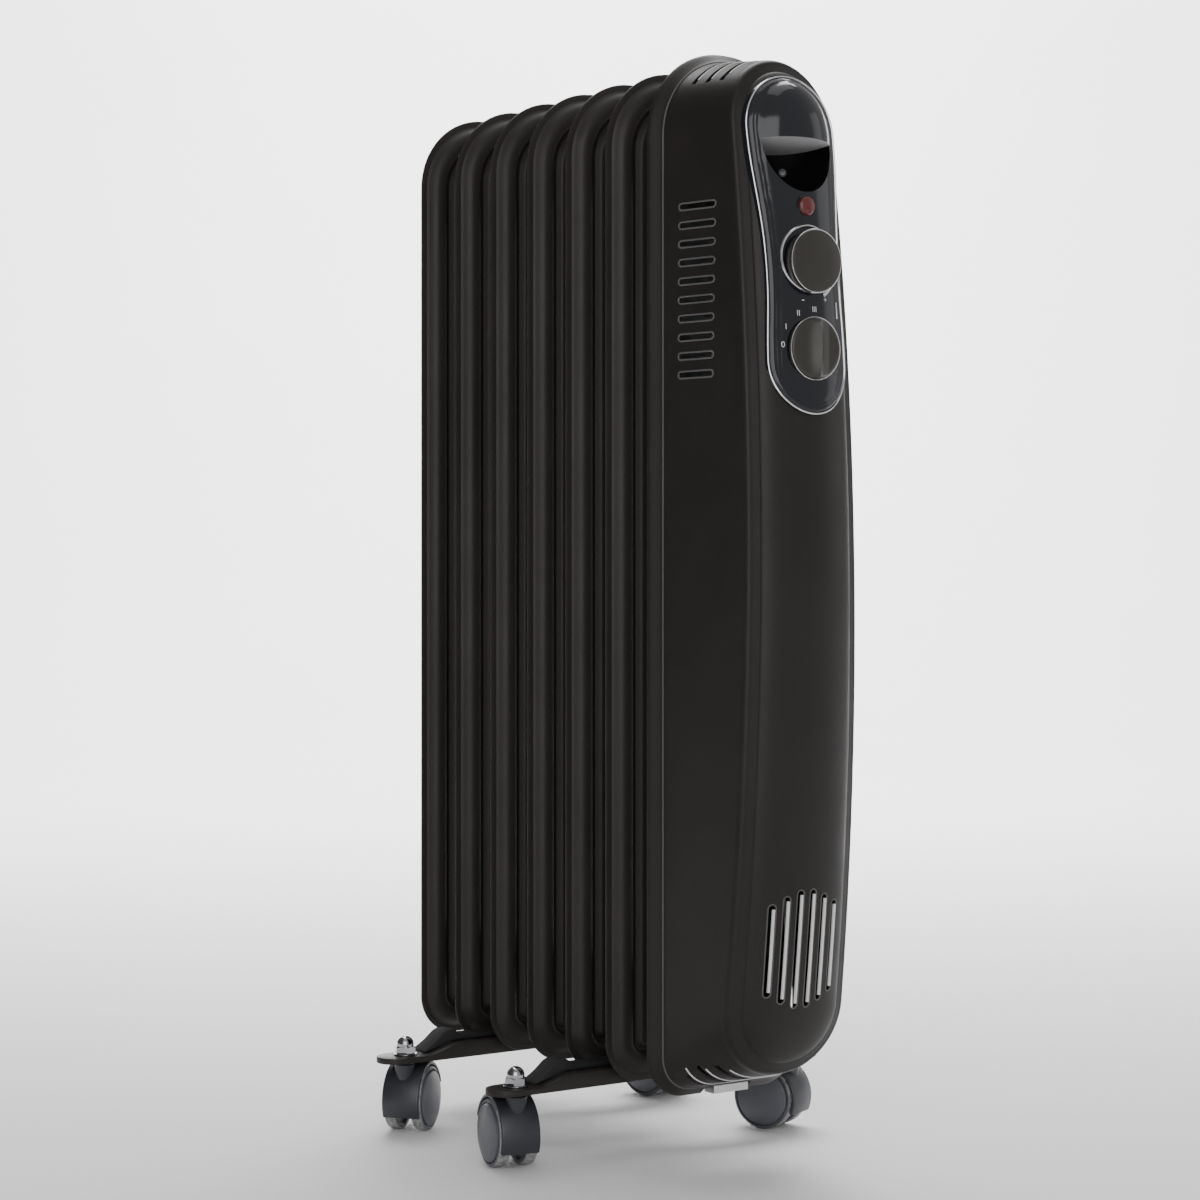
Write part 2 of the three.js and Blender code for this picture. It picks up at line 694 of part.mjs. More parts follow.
// down the left leg, over the bottom header and up the right leg, as a share of the length
class UBoltLine extends THREE.Curve {
  getPoint(share) {
    const leg = HEADER_BOTTOM_Z - U_BOLT_END_Z;
    const arc = Math.PI * U_BOLT_X;
    const along = share * (2 * leg + arc);
    if (along < leg) return new THREE.Vector3(-U_BOLT_X, 0, U_BOLT_END_Z + along);
    if (along > leg + arc) return new THREE.Vector3(U_BOLT_X, 0, HEADER_BOTTOM_Z - (along - leg - arc));
    const angle = Math.PI - (along - leg) / U_BOLT_X;
    const x = U_BOLT_X * Math.cos(angle);
    return new THREE.Vector3(x, 0, HEADER_BOTTOM_Z + U_BOLT_X * Math.sin(angle));
  }
}

function uBolt() {
  const section = new THREE.Shape().absarc(0, 0, U_BOLT_RADIUS, 0, 2 * Math.PI, false);
  const settings = { steps: 16, curveSegments: 4, bevelEnabled: false, extrudePath: new UBoltLine() };
  return outward(mergeVertices(bareGeometry(new THREE.ExtrudeGeometry(section, settings)), 1e-4));
}

function uBoltNut() {
  const top = BRIDGE_TOP - BRACKET_SHEET - GAP;
  return cut(post(0, 0, 4.6, top - 4, top, 6), post(0, 0, U_BOLT_RADIUS + HOLE_PLAY, ...THROUGH_BRACKET, 8));
}

Object.entries(BRACKET).forEach(([end, y]) => {
  add(`${end}_foot_bracket`, footBracket(), finPaint).position.y = y;
  add(`${end}_bracket_pad`, bracketPad(), rubber).position.y = y;
  add(`${end}_u_bolt`, uBolt(), zinc).position.y = y;
  [['left', -1], ['right', 1]].forEach(([hand, side]) => {
    add(`${end}_${hand}_u_bolt_nut`, uBoltNut(), zinc).position.set(side * U_BOLT_X, y, 0);
  });
});

// ---------------------------------------------------------------- casters

const STEM_END_Z = 28;
const COLLAR_RADIUS = 6.5;
const FENDER_FROM = -0.44;
const FENDER_TO = 2.8;

// the fixed stem: a collar under the bracket, and a domed nut fixed on top of it
function casterStem() {
  const nutBottom = ARM_TOP + GAP;
  const nutTop = nutBottom + 5.5;
  const dome = new THREE.SphereGeometry(4.8, 10, 6).rotateX(Math.PI / 2).translate(0, 0, nutTop + 1.2);
  return join(
    post(0, 0, STEM_RADIUS, STEM_END_Z, nutTop, 8),
    post(0, 0, COLLAR_RADIUS, ARM_TOP - BRACKET_SHEET - GAP - 2.1, ARM_TOP - BRACKET_SHEET - GAP),
    post(0, 0, 5.8, nutBottom, nutTop, 6),
    common(dome, post(0, 0, 6, nutTop - 1, nutTop + 7, 6)),
  );
}

// a rounded fender over both wheels, left whole between them, with a boss round the stem
function casterHood() {
  const { radius, inner, halfWidth, webHalf } = CASTER_HOOD;
  const side = new THREE.Shape();
  side.absarc(-CASTER_TRAIL, WHEEL_RADIUS, radius, FENDER_FROM, FENDER_TO, false);
  side.lineTo(-CASTER_TRAIL, WHEEL_RADIUS);
  const aboutAxle = (size, y0, y1, segments) => rod(-CASTER_TRAIL, WHEEL_RADIUS, size, y0, y1, segments);
  const bare = cut(
    join(slab(side, -halfWidth, halfWidth, 8), post(0, 0, COLLAR_RADIUS, 30, 41.5)),
    aboutAxle(inner, webHalf, 20, 18),
    aboutAxle(inner, -20, -webHalf, 18),
  );
  return cut(
    join(bare, aboutAxle(8, -webHalf, webHalf, 12)),
    aboutAxle(AXLE_RADIUS + GAP, -20, 20, 10),
    post(0, 0, STEM_RADIUS + GAP, STEM_END_Z - 0.5, 60, 8),
  );
}

function casterAxle() {
  return rod(0, 0, AXLE_RADIUS, -WHEEL_OUTER + 2, WHEEL_OUTER - 2, 10);
}

// a wheel stands on a flat of its own outline, so its corners stand a little further out
function casterWheel(side) {
  const segments = 20;
  const rim = WHEEL_RADIUS / Math.cos(Math.PI / segments);
  const wheel = turned([
    [0, WHEEL_OUTER - 1.7],
    [AXLE_RADIUS + GAP, WHEEL_OUTER - 1.7],
    [AXLE_RADIUS + GAP, WHEEL_INNER],
    [rim, WHEEL_INNER],
    [rim, WHEEL_OUTER - 2],
    [rim - 2, WHEEL_OUTER],
    [0, WHEEL_OUTER],
  ], segments);
  return side > 0 ? wheel : wheel.rotateZ(Math.PI);
}

CASTERS.forEach(({ name, x, y, heading }) => {
  const caster = new THREE.Group();
  caster.position.set(x, y, 0);
  caster.rotation.z = THREE.MathUtils.degToRad(heading);
  heater.add(caster);
  add(`${name}_caster_stem`, casterStem(), chrome, caster);
  add(`${name}_caster_hood`, casterHood(), casterPlastic, caster);
  const hub = new THREE.Vector3(-CASTER_TRAIL, 0, WHEEL_RADIUS);
  add(`${name}_caster_axle`, casterAxle(), steel, caster).position.copy(hub);
  [['a', 1], ['b', -1]].forEach(([letter, side]) => {
    add(`${name}_wheel_${letter}`, casterWheel(side), casterPlastic, caster).position.copy(hub);
  });
});

export default heater;
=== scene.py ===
"""Looks of the oil filled radiator heater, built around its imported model."""
import json
import math

import bmesh
import bpy
from mathutils import Matrix, Vector
from mathutils.geometry import intersect_point_line
from mathutils.kdtree import KDTree


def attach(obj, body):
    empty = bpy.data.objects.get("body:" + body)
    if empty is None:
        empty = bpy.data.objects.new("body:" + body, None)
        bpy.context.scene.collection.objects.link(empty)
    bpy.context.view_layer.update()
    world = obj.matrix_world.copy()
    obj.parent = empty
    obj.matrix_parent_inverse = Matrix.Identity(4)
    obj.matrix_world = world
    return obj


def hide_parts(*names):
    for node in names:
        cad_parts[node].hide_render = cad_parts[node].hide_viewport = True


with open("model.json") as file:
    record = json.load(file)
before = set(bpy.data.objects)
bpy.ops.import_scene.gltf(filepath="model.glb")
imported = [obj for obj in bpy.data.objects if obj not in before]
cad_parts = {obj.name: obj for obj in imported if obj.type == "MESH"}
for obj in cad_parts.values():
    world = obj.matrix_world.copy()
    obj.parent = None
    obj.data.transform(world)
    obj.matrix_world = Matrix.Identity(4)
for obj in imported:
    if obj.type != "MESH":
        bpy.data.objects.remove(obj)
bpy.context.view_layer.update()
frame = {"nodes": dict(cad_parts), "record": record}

MM = 0.001  # pieces are shaped in millimetres and made metres when they are finished
BODY = "radiator"

# ------------------------------------------------------------ shape of the heater, in mm

FIN_COUNT = 7
FIN_PITCH = 40.0
FIN_1_Y = -79.0
FIN_OUTLINE = dict(half=50.5, top=619.0, bottom=45.0, top_radius=46.0, bottom_radius=24.0)
HEADER_RADIUS = 16.0
HEADERS = {"top": 571.0, "bottom": 93.0}

FLANGE = dict(half=52.0, top=624.0, bottom=43.5, top_radius=50.0, bottom_radius=24.0)
FLANGE_BACK_Y = -80.5
WALL_FRONT_Y = -89.0
WALL_INSET = 5.5
SHEET = 1.2
DOME_HALF, DOME_TOP, DOME_BOTTOM = 38.5, 614.6, 59.5
DOME_TAPER = 0.0105
FOLD_Y, BOW_MIDDLE_Z, BOW_RADIUS = -147.5, 325.0, 1855.0
# the front's section: widths in from its outer fold, and how far it stands out there
BEAD_WIDTH, BEAD_DEPTH = 3.0, 5.0
VALLEY_WIDTH, VALLEY_DEPTH = 7.5, 7.0
CROWN_DEPTH = 15.8

GRILLE_Z, GRILLE_WIDTH = 131.0, 4.0
GRILLE = [(4.3, 64.0), (12.8, 58.0), (21.3, 50.0)]  # distance from the middle, and length
LOUVRE_ZS = [533.5 - 10.2 * i for i in range(10)]
LOUVRE_Y, LOUVRE_LENGTH, LOUVRE_WIDTH = -112.5, 25.0, 3.0
VENT_YS = [-99.0, -108.0, -117.5]
VENT_HALF, VENT_WIDTH = 38.0, 3.0

PANEL_PROUD = 3.5
PANEL_SEAT = 4.0  # how far the cover reaches in under the panel's edge
PANEL_BACK_Y = -112.0
PANEL_CURVE = 7.9  # how far the panel falls back from its middle to the valley round the front
PAST_FRONT_Y = -180.0  # cutters reach this far, well clear of everything
HOOD_BACK_Y, HOOD_BULGE, HOOD_HALF, HOOD_HEIGHT = -137.0, 18.5, 27.0, 33.0
POCKET_Z, POCKET_HALF, POCKET_HEIGHT = 568.5, 23.8, 29.0
POCKET_MOUTH_Y, POCKET_DEPTH = -147.0, 30.0
LIP_Y, LIP_SLOPE = -155.0, 0.12  # the pocket sinks toward its back from where its lip lies
LAMP_Z, THERMOSTAT_Z, RING_Z, SELECTOR_Z = 531.5, 501.3, 502.9, 454.3
DIAL_EDGE_RADIUS, DIAL_STEPS = 0.32, 96
PRINT_LIFT = 0.12

BRACKETS = {"front": -19.0, "rear": 101.0}
BRACKET_REACH, BRACKET_HALF_WIDTH = 116.0, 11.5
BRACKET_BOTTOM, ARM_TOP, BRIDGE_TOP = 42.6, 46.4, 52.0
RAMP_FOOT_X, RAMP_LENGTH = 88.0, 22.0
STEM_X = 98.0
WHEEL_RADIUS, CASTER_TRAIL = 19.0, 12.0
# each caster's stem at x and y, and the way it has swivelled, in degrees
CASTERS = {
    "front_left": (-STEM_X, BRACKETS["front"], -102.5),
    "front_right": (STEM_X, BRACKETS["front"], -66.0),
    "rear_left": (-STEM_X, BRACKETS["rear"], -141.0),
    "rear_right": (STEM_X, BRACKETS["rear"], -75.0),
}


# ------------------------------------------------------------ camera, stage and light


CAMERA_TURN = math.radians(-35)  # the camera and the backdrop share one heading


def place_camera():
    """A long lens at a little over half the heater's height, looking level."""
    data = bpy.data.cameras.new("camera")
    data.lens = 81.2
    data.sensor_width = 36.0
    data.shift_y = -0.029
    camera = bpy.data.objects.new("camera", data)
    camera.location = (-0.9279, -1.2865, 0.338)
    camera.rotation_euler = (math.radians(90), 0, CAMERA_TURN)
    bpy.context.scene.collection.objects.link(camera)
    bpy.context.scene.camera = camera


def area_light(name, location, target, size, power):
    """A white rectangular light that faces a target; size in metres and power in watts."""
    data = bpy.data.lights.new(name, "AREA")
    data.shape = "RECTANGLE"
    data.size, data.size_y = size
    data.energy = power
    light = bpy.data.objects.new(name, data)
    light.location = location
    way = Vector(target) - Vector(location)
    light.rotation_euler = way.to_track_quat("-Z", "Y").to_euler()
    bpy.context.scene.collection.objects.link(light)


def light_studio():
    """A large key beside the camera, two weak fills, and a wash on the backdrop and on the floor."""
    middle = (0, 0, 0.33)
    area_light("key_near_camera", (-1.6, -2.2, 1.0), middle, (2.0, 2.4), 34)
    area_light("right_side", (2.3, -1.1, 0.9), middle, (0.9, 1.8), 3.5)
    area_light("top_soft", (0.2, 0.1, 2.4), middle, (1.4, 1.4), 6)
    area_light("backdrop_wash", (1.0, 1.5, 2.6), (2.2, 3.2, 1.0), (3.0, 1.6), 310)
    area_light("floor_wash", (0.9, 1.3, 2.9), (0.9, 1.35, 0), (2.2, 1.6), 70)


def direction_ramp(nodes, links, way, low, high):
    """A value that follows the cosine between a ray and a direction.

    Low and high are pairs of a cosine and the value there.
    """
    coords = nodes.new("ShaderNodeTexCoord")
    toward = nodes.new("ShaderNodeVectorMath")
    toward.operation = "DOT_PRODUCT"
    toward.inputs[1].default_value = way
    spread = nodes.new("ShaderNodeMapRange")
    spread.interpolation_type = "SMOOTHSTEP"
    for socket, value in zip(("From Min", "To Min", "From Max", "To Max"), (*low, *high)):
        spread.inputs[socket].default_value = value
    links.new(coords.outputs["Generated"], toward.inputs[0])
    links.new(toward.outputs["Value"], spread.inputs["Value"])
    return spread.outputs["Result"]


def dress_world():
    """Soft grey light all round, but dim on the rear left, so that the left walls stay dark."""
    world = bpy.data.worlds.new("studio")
    bpy.context.scene.world = world
    world.use_nodes = True
    nodes, links = world.node_tree.nodes, world.node_tree.links
    soft = direction_ramp(nodes, links, (-0.57, 0.82, 0), (-0.1, 0.55), (0.5, 0.12))
    links.new(soft, nodes["Background"].inputs["Strength"])
    nodes["Background"].inputs["Color"].default_value = (1, 1, 1, 1)


def lay_floor():
    """A pale floor that sweeps up into a backdrop, square to the camera's line of sight."""
    near, bend, radius, height, half_width = -2.4, 2.6, 1.4, 2.0, 3.2
    steps = 16
    profile = [(near, 0), (bend, 0)]
    for i in range(1, steps + 1):
        angle = math.radians(90 * i / steps)
        profile.append((bend + radius * math.sin(angle), radius * (1 - math.cos(angle))))
    profile.append((bend + radius, height))
    bm = bmesh.new()
    verts = [bm.verts.new((-half_width, along, z)) for along, z in profile]
    edges = [bm.edges.new(pair) for pair in zip(verts, verts[1:])]
    swept = bmesh.ops.extrude_edge_only(bm, edges=edges)["geom"]
    moving = picked(swept, bmesh.types.BMVert)
    bmesh.ops.translate(bm, vec=(2 * half_width, 0, 0), verts=moving)
    bmesh.ops.rotate(bm, matrix=Matrix.Rotation(CAMERA_TURN, 3, "Z"), verts=bm.verts)
    bmesh.ops.recalc_face_normals(bm, faces=bm.faces)
    mesh = bpy.data.meshes.new("floor")
    bm.to_mesh(mesh)
    bm.free()
    mesh.shade_smooth()
    floor = bpy.data.objects.new("floor", mesh)
    bpy.context.scene.collection.objects.link(floor)
    paper = finish("pale_floor", (0.9, 0.9, 0.9), 0.7)
    vary_color(paper, noise(paper, 3), (0.885, 0.885, 0.885), (0.9, 0.9, 0.9))
    mesh.materials.append(paper)


# ------------------------------------------------------------ finishes

NOISE_RANGE = (0.3, 0.7)  # nearly all of a noise texture lies between these
ENAMEL_SPECULAR, POCKET_SPECULAR = 0.22, 0.12

def finish(name, color, roughness, metallic=0.0):
    """An even material, the start of every other one."""
    material = bpy.data.materials.new(name)
    material.use_nodes = True
    shader = material.node_tree.nodes["Principled BSDF"]
    shader.inputs["Base Color"].default_value = (*color, 1)
    shader.inputs["Roughness"].default_value = roughness
    shader.inputs["Metallic"].default_value = metallic
    return material


def noise(material, scale, detail=4.0, stretch=(1, 1, 1)):
    """A noise texture fixed to the object; gives its output."""
    nodes, links = material.node_tree.nodes, material.node_tree.links
    coords = nodes.new("ShaderNodeTexCoord")
    mapping = nodes.new("ShaderNodeMapping")
    mapping.inputs["Scale"].default_value = stretch
    texture = nodes.new("ShaderNodeTexNoise")
    texture.inputs["Scale"].default_value = scale
    texture.inputs["Detail"].default_value = detail
    links.new(coords.outputs["Object"], mapping.inputs["Vector"])
    links.new(mapping.outputs["Vector"], texture.inputs["Vector"])
    return texture.outputs["Fac"]


def vary_color(material, factor, low, high):
    """Drifts the colour between two over the noise's range."""
    nodes, links = material.node_tree.nodes, material.node_tree.links
    ramp = nodes.new("ShaderNodeValToRGB")
    stops = zip(ramp.color_ramp.elements, NOISE_RANGE, (low, high))
    for stop, position, color in stops:
        stop.position = position
        stop.color = (*color, 1)
    links.new(factor, ramp.inputs["Fac"])
    links.new(ramp.outputs["Color"], nodes["Principled BSDF"].inputs["Base Color"])


def vary_roughness(material, factor, low, high):
    """Drifts the roughness between two values over the noise's range."""
    nodes, links = material.node_tree.nodes, material.node_tree.links
    spread = nodes.new("ShaderNodeMapRange")
    spread.inputs["From Min"].default_value, spread.inputs["From Max"].default_value = NOISE_RANGE
    spread.inputs["To Min"].default_value = low
    spread.inputs["To Max"].default_value = high
    links.new(factor, spread.inputs["Value"])
    links.new(spread.outputs["Result"], nodes["Principled BSDF"].inputs["Roughness"])


def roughen(material, factor, height):
    """A bumpy surface, its height in metres."""
    nodes, links = material.node_tree.nodes, material.node_tree.links
    bump = nodes.new("ShaderNodeBump")
    bump.inputs["Strength"].default_value = 1.0
    bump.inputs["Distance"].default_value = height
    links.new(factor, bump.inputs["Height"])
    links.new(bump.outputs["Normal"], nodes["Principled BSDF"].inputs["Normal"])


def shade(color, amount):
    """The same colour, darker or lighter."""
    return tuple(channel * amount for channel in color)


def dull(material, level):
    """Weakens the mirror reflection; 0.5 is the usual level."""
    shader = material.node_tree.nodes["Principled BSDF"]
    shader.inputs["Specular IOR Level"].default_value = level


def satin_enamel(name, color, roughness):
    """Baked enamel on steel: slightly mottled, with a fine orange-peel surface."""
    material = finish(name, color, roughness)
    dull(material, ENAMEL_SPECULAR)
    vary_color(material, noise(material, 14), shade(color, 0.9), shade(color, 1.1))
    vary_roughness(material, noise(material, 40), roughness - 0.04, roughness + 0.05)
    roughen(material, noise(material, 900, 2), 0.00003)
    return material


def polished_plastic(name, color, roughness):
    """Glossy moulding: a faint long ripple and a little haze."""
    material = finish(name, color, roughness)
    vary_color(material, noise(material, 20), shade(color, 0.92), shade(color, 1.08))
    vary_roughness(material, noise(material, 60), roughness, roughness + 0.05)
    roughen(material, noise(material, 120, 1), 0.000003)
    return material


def moulded_plastic(name, color, roughness):
    """Fine spark-eroded grain on a moulded piece."""
    material = finish(name, color, roughness)
    vary_color(material, noise(material, 30), shade(color, 0.9), shade(color, 1.1))
    vary_roughness(material, noise(material, 90), roughness - 0.03, roughness + 0.05)
    roughen(material, noise(material, 1600, 2), 0.00002)
    return material


def bright_metal(name, color, low, high):
    """Plated or drawn steel with fine smears in its gloss."""
    material = finish(name, color, low, 1.0)
    vary_color(material, noise(material, 120), shade(color, 0.93), color)
    vary_roughness(material, noise(material, 220, 3, (1, 1, 5)), low, high)
    return material


FINISHES = {
    "fin_paint": satin_enamel("fin_enamel", (0.027, 0.0235, 0.0215), 0.40),
    "cover_paint": satin_enamel("cover_enamel", (0.019, 0.0165, 0.0155), 0.38),
    "gloss_black": polished_plastic("panel_gloss", (0.007, 0.0075, 0.011), 0.11),
    "chrome_trim": bright_metal("bright_line", (0.75, 0.75, 0.77), 0.12, 0.2),
    "chrome_nut": bright_metal("nut_chrome", (0.4, 0.4, 0.42), 0.05, 0.12),
    "bare_steel": bright_metal("bare_steel", (0.42, 0.42, 0.43), 0.28, 0.42),
    "zinc_plate": bright_metal("zinc_plating", (0.62, 0.62, 0.63), 0.32, 0.48),
    "black_rubber": moulded_plastic("black_rubber", (0.012, 0.012, 0.012), 0.7),
    "red_lens": polished_plastic("red_lens", (0.11, 0.017, 0.018), 0.2),
    "brown_phenolic": moulded_plastic("brown_phenolic", (0.05, 0.03, 0.02), 0.55),
    "knob_plastic": moulded_plastic("knob_satin", (0.024, 0.021, 0.016), 0.36),
    "caster_plastic": moulded_plastic("caster_nylon", (0.030, 0.031, 0.038), 0.36),
    "caster_wheel": moulded_plastic("wheel_nylon", (0.095, 0.097, 0.112), 0.34),
}
TREAD = moulded_plastic("worn_tread", (0.26, 0.26, 0.265), 0.6)
vary_color(TREAD, noise(TREAD, 500, 6), (0.14, 0.14, 0.145), (0.40, 0.40, 0.40))
# painted highlight: a paler enamel on the crease between flange and wall and on the lips of the openings,
# for the light they catch
EDGE_HIGHLIGHT_PAINT = satin_enamel("painted_edge_highlight", (0.10, 0.097, 0.094), 0.35)
POCKET_DARK = moulded_plastic("pocket_shade", (0.002, 0.002, 0.0025), 0.5)
dull(POCKET_DARK, POCKET_SPECULAR)
# painted reflection: the underside of the hood's lip is painted pale grey for the bright floor it mirrors
LIP_PAINTED_REFLECTION = moulded_plastic("painted_lip_reflection", (0.42, 0.42, 0.43), 0.5)
# painted highlight: pale lines inside the grille slots and cross vents, for their lit flanks
FLANK_HIGHLIGHT = moulded_plastic("painted_flank_highlight", (0.66, 0.66, 0.66), 0.4)
INK = finish("printed_marks", (0.62, 0.62, 0.64), 0.4)
vary_color(INK, noise(INK, 400), (0.55, 0.55, 0.57), (0.68, 0.68, 0.70))


# ------------------------------------------------------------ shaping helpers

WELD = 0.002  # points nearer than this are made one

def make_piece(name, bm, slot, body=BODY, replaces=(), sharp=32, extra=()):
    """Turns a bmesh in millimetres into a finished piece that rides on a body.

    Edges sharper than the angle given in degrees stay crisp. Extra materials follow the slot's own.
    """
    bmesh.ops.scale(bm, vec=(MM, MM, MM), verts=bm.verts)
    mesh = bpy.data.meshes.new(name)
    bm.to_mesh(mesh)
    bm.free()
    for material in (FINISHES[slot], *extra):
        mesh.materials.append(material)
    mesh.shade_smooth()
    mesh.set_sharp_from_angle(angle=math.radians(sharp))
    piece = bpy.data.objects.new(name, mesh)
    bpy.context.scene.collection.objects.link(piece)
    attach(piece, body)
    if replaces:
        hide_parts(*replaces)
    return piece


def all_of(bm):
    """Every vert, edge and face of a shape."""
    return bm.verts[:] + bm.edges[:] + bm.faces[:]


def picked(geom, kind):
    """The verts, the edges or the faces out of a mixed list."""
    return [item for item in geom if isinstance(item, kind)]


def add_ring(bm, points):
    """Joins points into a closed loop of edges."""
    verts = [bm.verts.new(point) for point in points]
    return [bm.edges.new(pair) for pair in zip(verts, verts[1:] + verts[:1])]


def skin(bm, rings):
    """Bridges each ring of points to the next, and returns the loops of edges."""
    loops = [add_ring(bm, ring) for ring in rings]
    for first, second in zip(loops, loops[1:]):
        bmesh.ops.bridge_loops(bm, edges=first + second)
    return loops


def cap(bm, loop):
    """Closes a loop of edges with one face."""
    bmesh.ops.contextual_create(bm, geom=loop)


def outward(bm):
    """Welds the seams and turns every face outward."""
    bmesh.ops.remove_doubles(bm, verts=bm.verts, dist=WELD)
    bmesh.ops.recalc_face_normals(bm, faces=bm.faces)
    return bm


def turned(profile, steps=64):
    """A round solid about Z: the profile is pairs of radius and height, axis to axis."""
    bm = bmesh.new()
    verts = [bm.verts.new((radius, 0, height)) for radius, height in profile]
    edges = [bm.edges.new(pair) for pair in zip(verts, verts[1:])]
    bmesh.ops.spin(
        bm, geom=verts + edges, cent=(0, 0, 0), axis=(0, 0, 1),
        angle=2 * math.pi, steps=steps, use_merge=True,
    )
    return outward(bm)


def moved(bm, matrix):
    """Moves a shape, and gives it back."""
    bmesh.ops.transform(bm, matrix=matrix, verts=bm.verts)
    return bm


def facing_front(x, z, y=0.0):
    """Carries a shape turned about +Z to the line through x, z that points along -Y."""
    return Matrix.Translation((x, y, z)) @ Matrix.Rotation(math.radians(90), 4, "X")


def soften(bm, width, segments=2, angle=40):
    """Rounds every edge that is sharper than an angle."""
    bm.normal_update()
    limit = math.radians(angle)
    edges = [e for e in bm.edges if len(e.link_faces) == 2 and e.calc_face_angle() > limit]
    bmesh.ops.bevel(
        bm, geom=edges, offset=width, segments=segments, profile=0.5,
        affect="EDGES", material=-1, clamp_overlap=True,
    )
    return bm


def joined(*parts):
    """One bmesh of several, none of them cut by another."""
    whole = bmesh.new()
    for part in parts:
        mesh = bpy.data.meshes.new("part")
        part.to_mesh(mesh)
        part.free()
        whole.from_mesh(mesh)
        bpy.data.meshes.remove(mesh)
    return whole


def carved(bm, cutter, operation="DIFFERENCE"):
    """The first solid with the second cut out of it, or the part that both share."""
    objects = []
    for part in (bm, cutter):
        mesh = bpy.data.meshes.new("work")
        part.to_mesh(mesh)
        part.free()
        objects.append(bpy.data.objects.new("work", mesh))
        bpy.context.scene.collection.objects.link(objects[-1])
    tool = objects[0].modifiers.new("cut", "BOOLEAN")
    tool.object = objects[1]
    tool.operation = operation
    tool.solver = "EXACT"
    bpy.context.view_layer.update()
    whole = bmesh.new()
    seen = objects[0].evaluated_get(bpy.context.evaluated_depsgraph_get())
    whole.from_mesh(seen.data)
    for work in objects:
        mesh = work.data
        bpy.data.objects.remove(work)
        bpy.data.meshes.remove(mesh)
    return whole


def solid(rings):
    """A solid through rings of points, capped at the first and the last."""
    bm = bmesh.new()
    loops = skin(bm, rings)
    cap(bm, loops[0])
    cap(bm, loops[-1])
    return outward(bm)


def slab(outline, y0, y1):
    """An outline of points x, z made solid from y0 to y1."""
    return solid([[(x, y, z) for x, z in outline] for y in (y0, y1)])


def step_in(bm, face, width, rise=0.0):
    """Insets a lone face, and lifts it along its normal."""
    bmesh.ops.inset_region(
        bm, faces=[face], thickness=width, depth=rise, use_even_offset=True, use_boundary=True,
    )


def crossed(bm, point, normal):
    """Adds edges to a shape where a plane crosses it."""
    bmesh.ops.bisect_plane(bm, geom=all_of(bm), plane_co=point, plane_no=normal)


def close_back(bm, axis, level):
    """Runs the open border of a face back to one level, and closes it there."""
    border = [edge for edge in bm.edges if edge.is_boundary]
    skirt = bmesh.ops.extrude_edge_only(bm, edges=border)["geom"]
    for vert in picked(skirt, bmesh.types.BMVert):
        vert.co[axis] = level
    cap(bm, [edge for edge in picked(skirt, bmesh.types.BMEdge) if edge.is_boundary])
    return outward(bm)


def shape_of(curve):
    """The mesh of a curve as a bmesh; the curve itself is used up."""
    holder = bpy.data.objects.new("work", curve)
    bpy.context.scene.collection.objects.link(holder)
    bpy.context.view_layer.update()
    mesh = bpy.data.meshes.new_from_object(holder)
    bm = bmesh.new()
    bm.from_mesh(mesh)
    bpy.data.meshes.remove(mesh)
    bpy.data.objects.remove(holder)
    bpy.data.curves.remove(curve)
    return bm


def wire(points, radius, closed=True, sides=3):
    """A round wire along points."""
    curve = bpy.data.curves.new("wire", "CURVE")
    curve.dimensions = "3D"
    curve.bevel_depth = radius
    curve.bevel_resolution = sides
    curve.use_fill_caps = not closed
    spline = curve.splines.new("POLY")
    spline.points.add(len(points) - 1)
    for spot, point in zip(spline.points, points):
        spot.co = (*point, 1)
    spline.use_cyclic_u = closed
    return outward(shape_of(curve))


def arc(cx, cz, rx, rz, start, end, steps):
    """Points along part of an ellipse, angles in degrees."""
    angles = [math.radians(start + (end - start) * i / steps) for i in range(steps + 1)]
    return [(cx + rx * math.cos(a), cz + rz * math.sin(a)) for a in angles]


def tall_outline(half, top, bottom, top_radius, bottom_radius, arc_steps=16, side_steps=24):
    """Up the right side and down the left, as points x, z."""
    low, high = bottom + bottom_radius, top - top_radius
    right = arc(half - bottom_radius, low, bottom_radius, bottom_radius, -90, 0, arc_steps)
    right += [(half, low + (high - low) * i / side_steps) for i in range(1, side_steps)]
    right += arc(half - top_radius, high, top_radius, top_radius, 0, 90, arc_steps)
    return right + [(-x, z) for x, z in reversed(right)]


def inset(outline, amount):
    """The sizes of a tall outline, the same distance in all round."""
    return dict(
        half=outline["half"] - amount,
        top=outline["top"] - amount,
        bottom=outline["bottom"] + amount,
        top_radius=outline["top_radius"] - amount,
        bottom_radius=outline["bottom_radius"] - amount,
    )


# ------------------------------------------------------------ fins and headers

# steps in from the rim: how far in, and the half thickness there
FIN_STEPS = [
    (0.3, 0.7), (0.3, 0.8), (3.0, 0.8), (0.8, 1.3), (0.9, 2.3), (1.0, 3.4), (1.2, 4.5),
    (1.6, 5.4), (2.2, 5.9), (2.4, 5.9), (1.6, 5.3), (1.0, 4.3), (0.8, 3.2), (0.8, 2.7),
    (1.0, 2.8), (0.8, 3.6), (0.8, 4.8), (1.0, 5.7), (1.2, 6.1),
]


def pressed_half():
    """One pressed sheet of a fin, with its rim on the plane y = 0."""
    bm = bmesh.new()
    outline = tall_outline(**FIN_OUTLINE)
    face = bm.faces.new([bm.verts.new((x, 0, z)) for x, z in outline])
    face.normal_update()
    if face.normal.y > 0:
        face.normal_flip()
    height = 0.0
    for width, level in FIN_STEPS:
        step_in(bm, face, width, level - height)
        height = level
    return bm


def build_fins():
    """Every fin is two pressed sheets back to back."""
    for number in range(1, FIN_COUNT + 1):
        bm = pressed_half()
        bmesh.ops.mirror(bm, geom=all_of(bm), axis="Y", merge_dist=0.001)
        outward(bm)
        y = FIN_1_Y + (number - 1) * FIN_PITCH
        moved(bm, Matrix.Translation((0, y, 0)))
        make_piece(f"pressed_fin_{number}", bm, "fin_paint", replaces=[f"fin_{number}"])


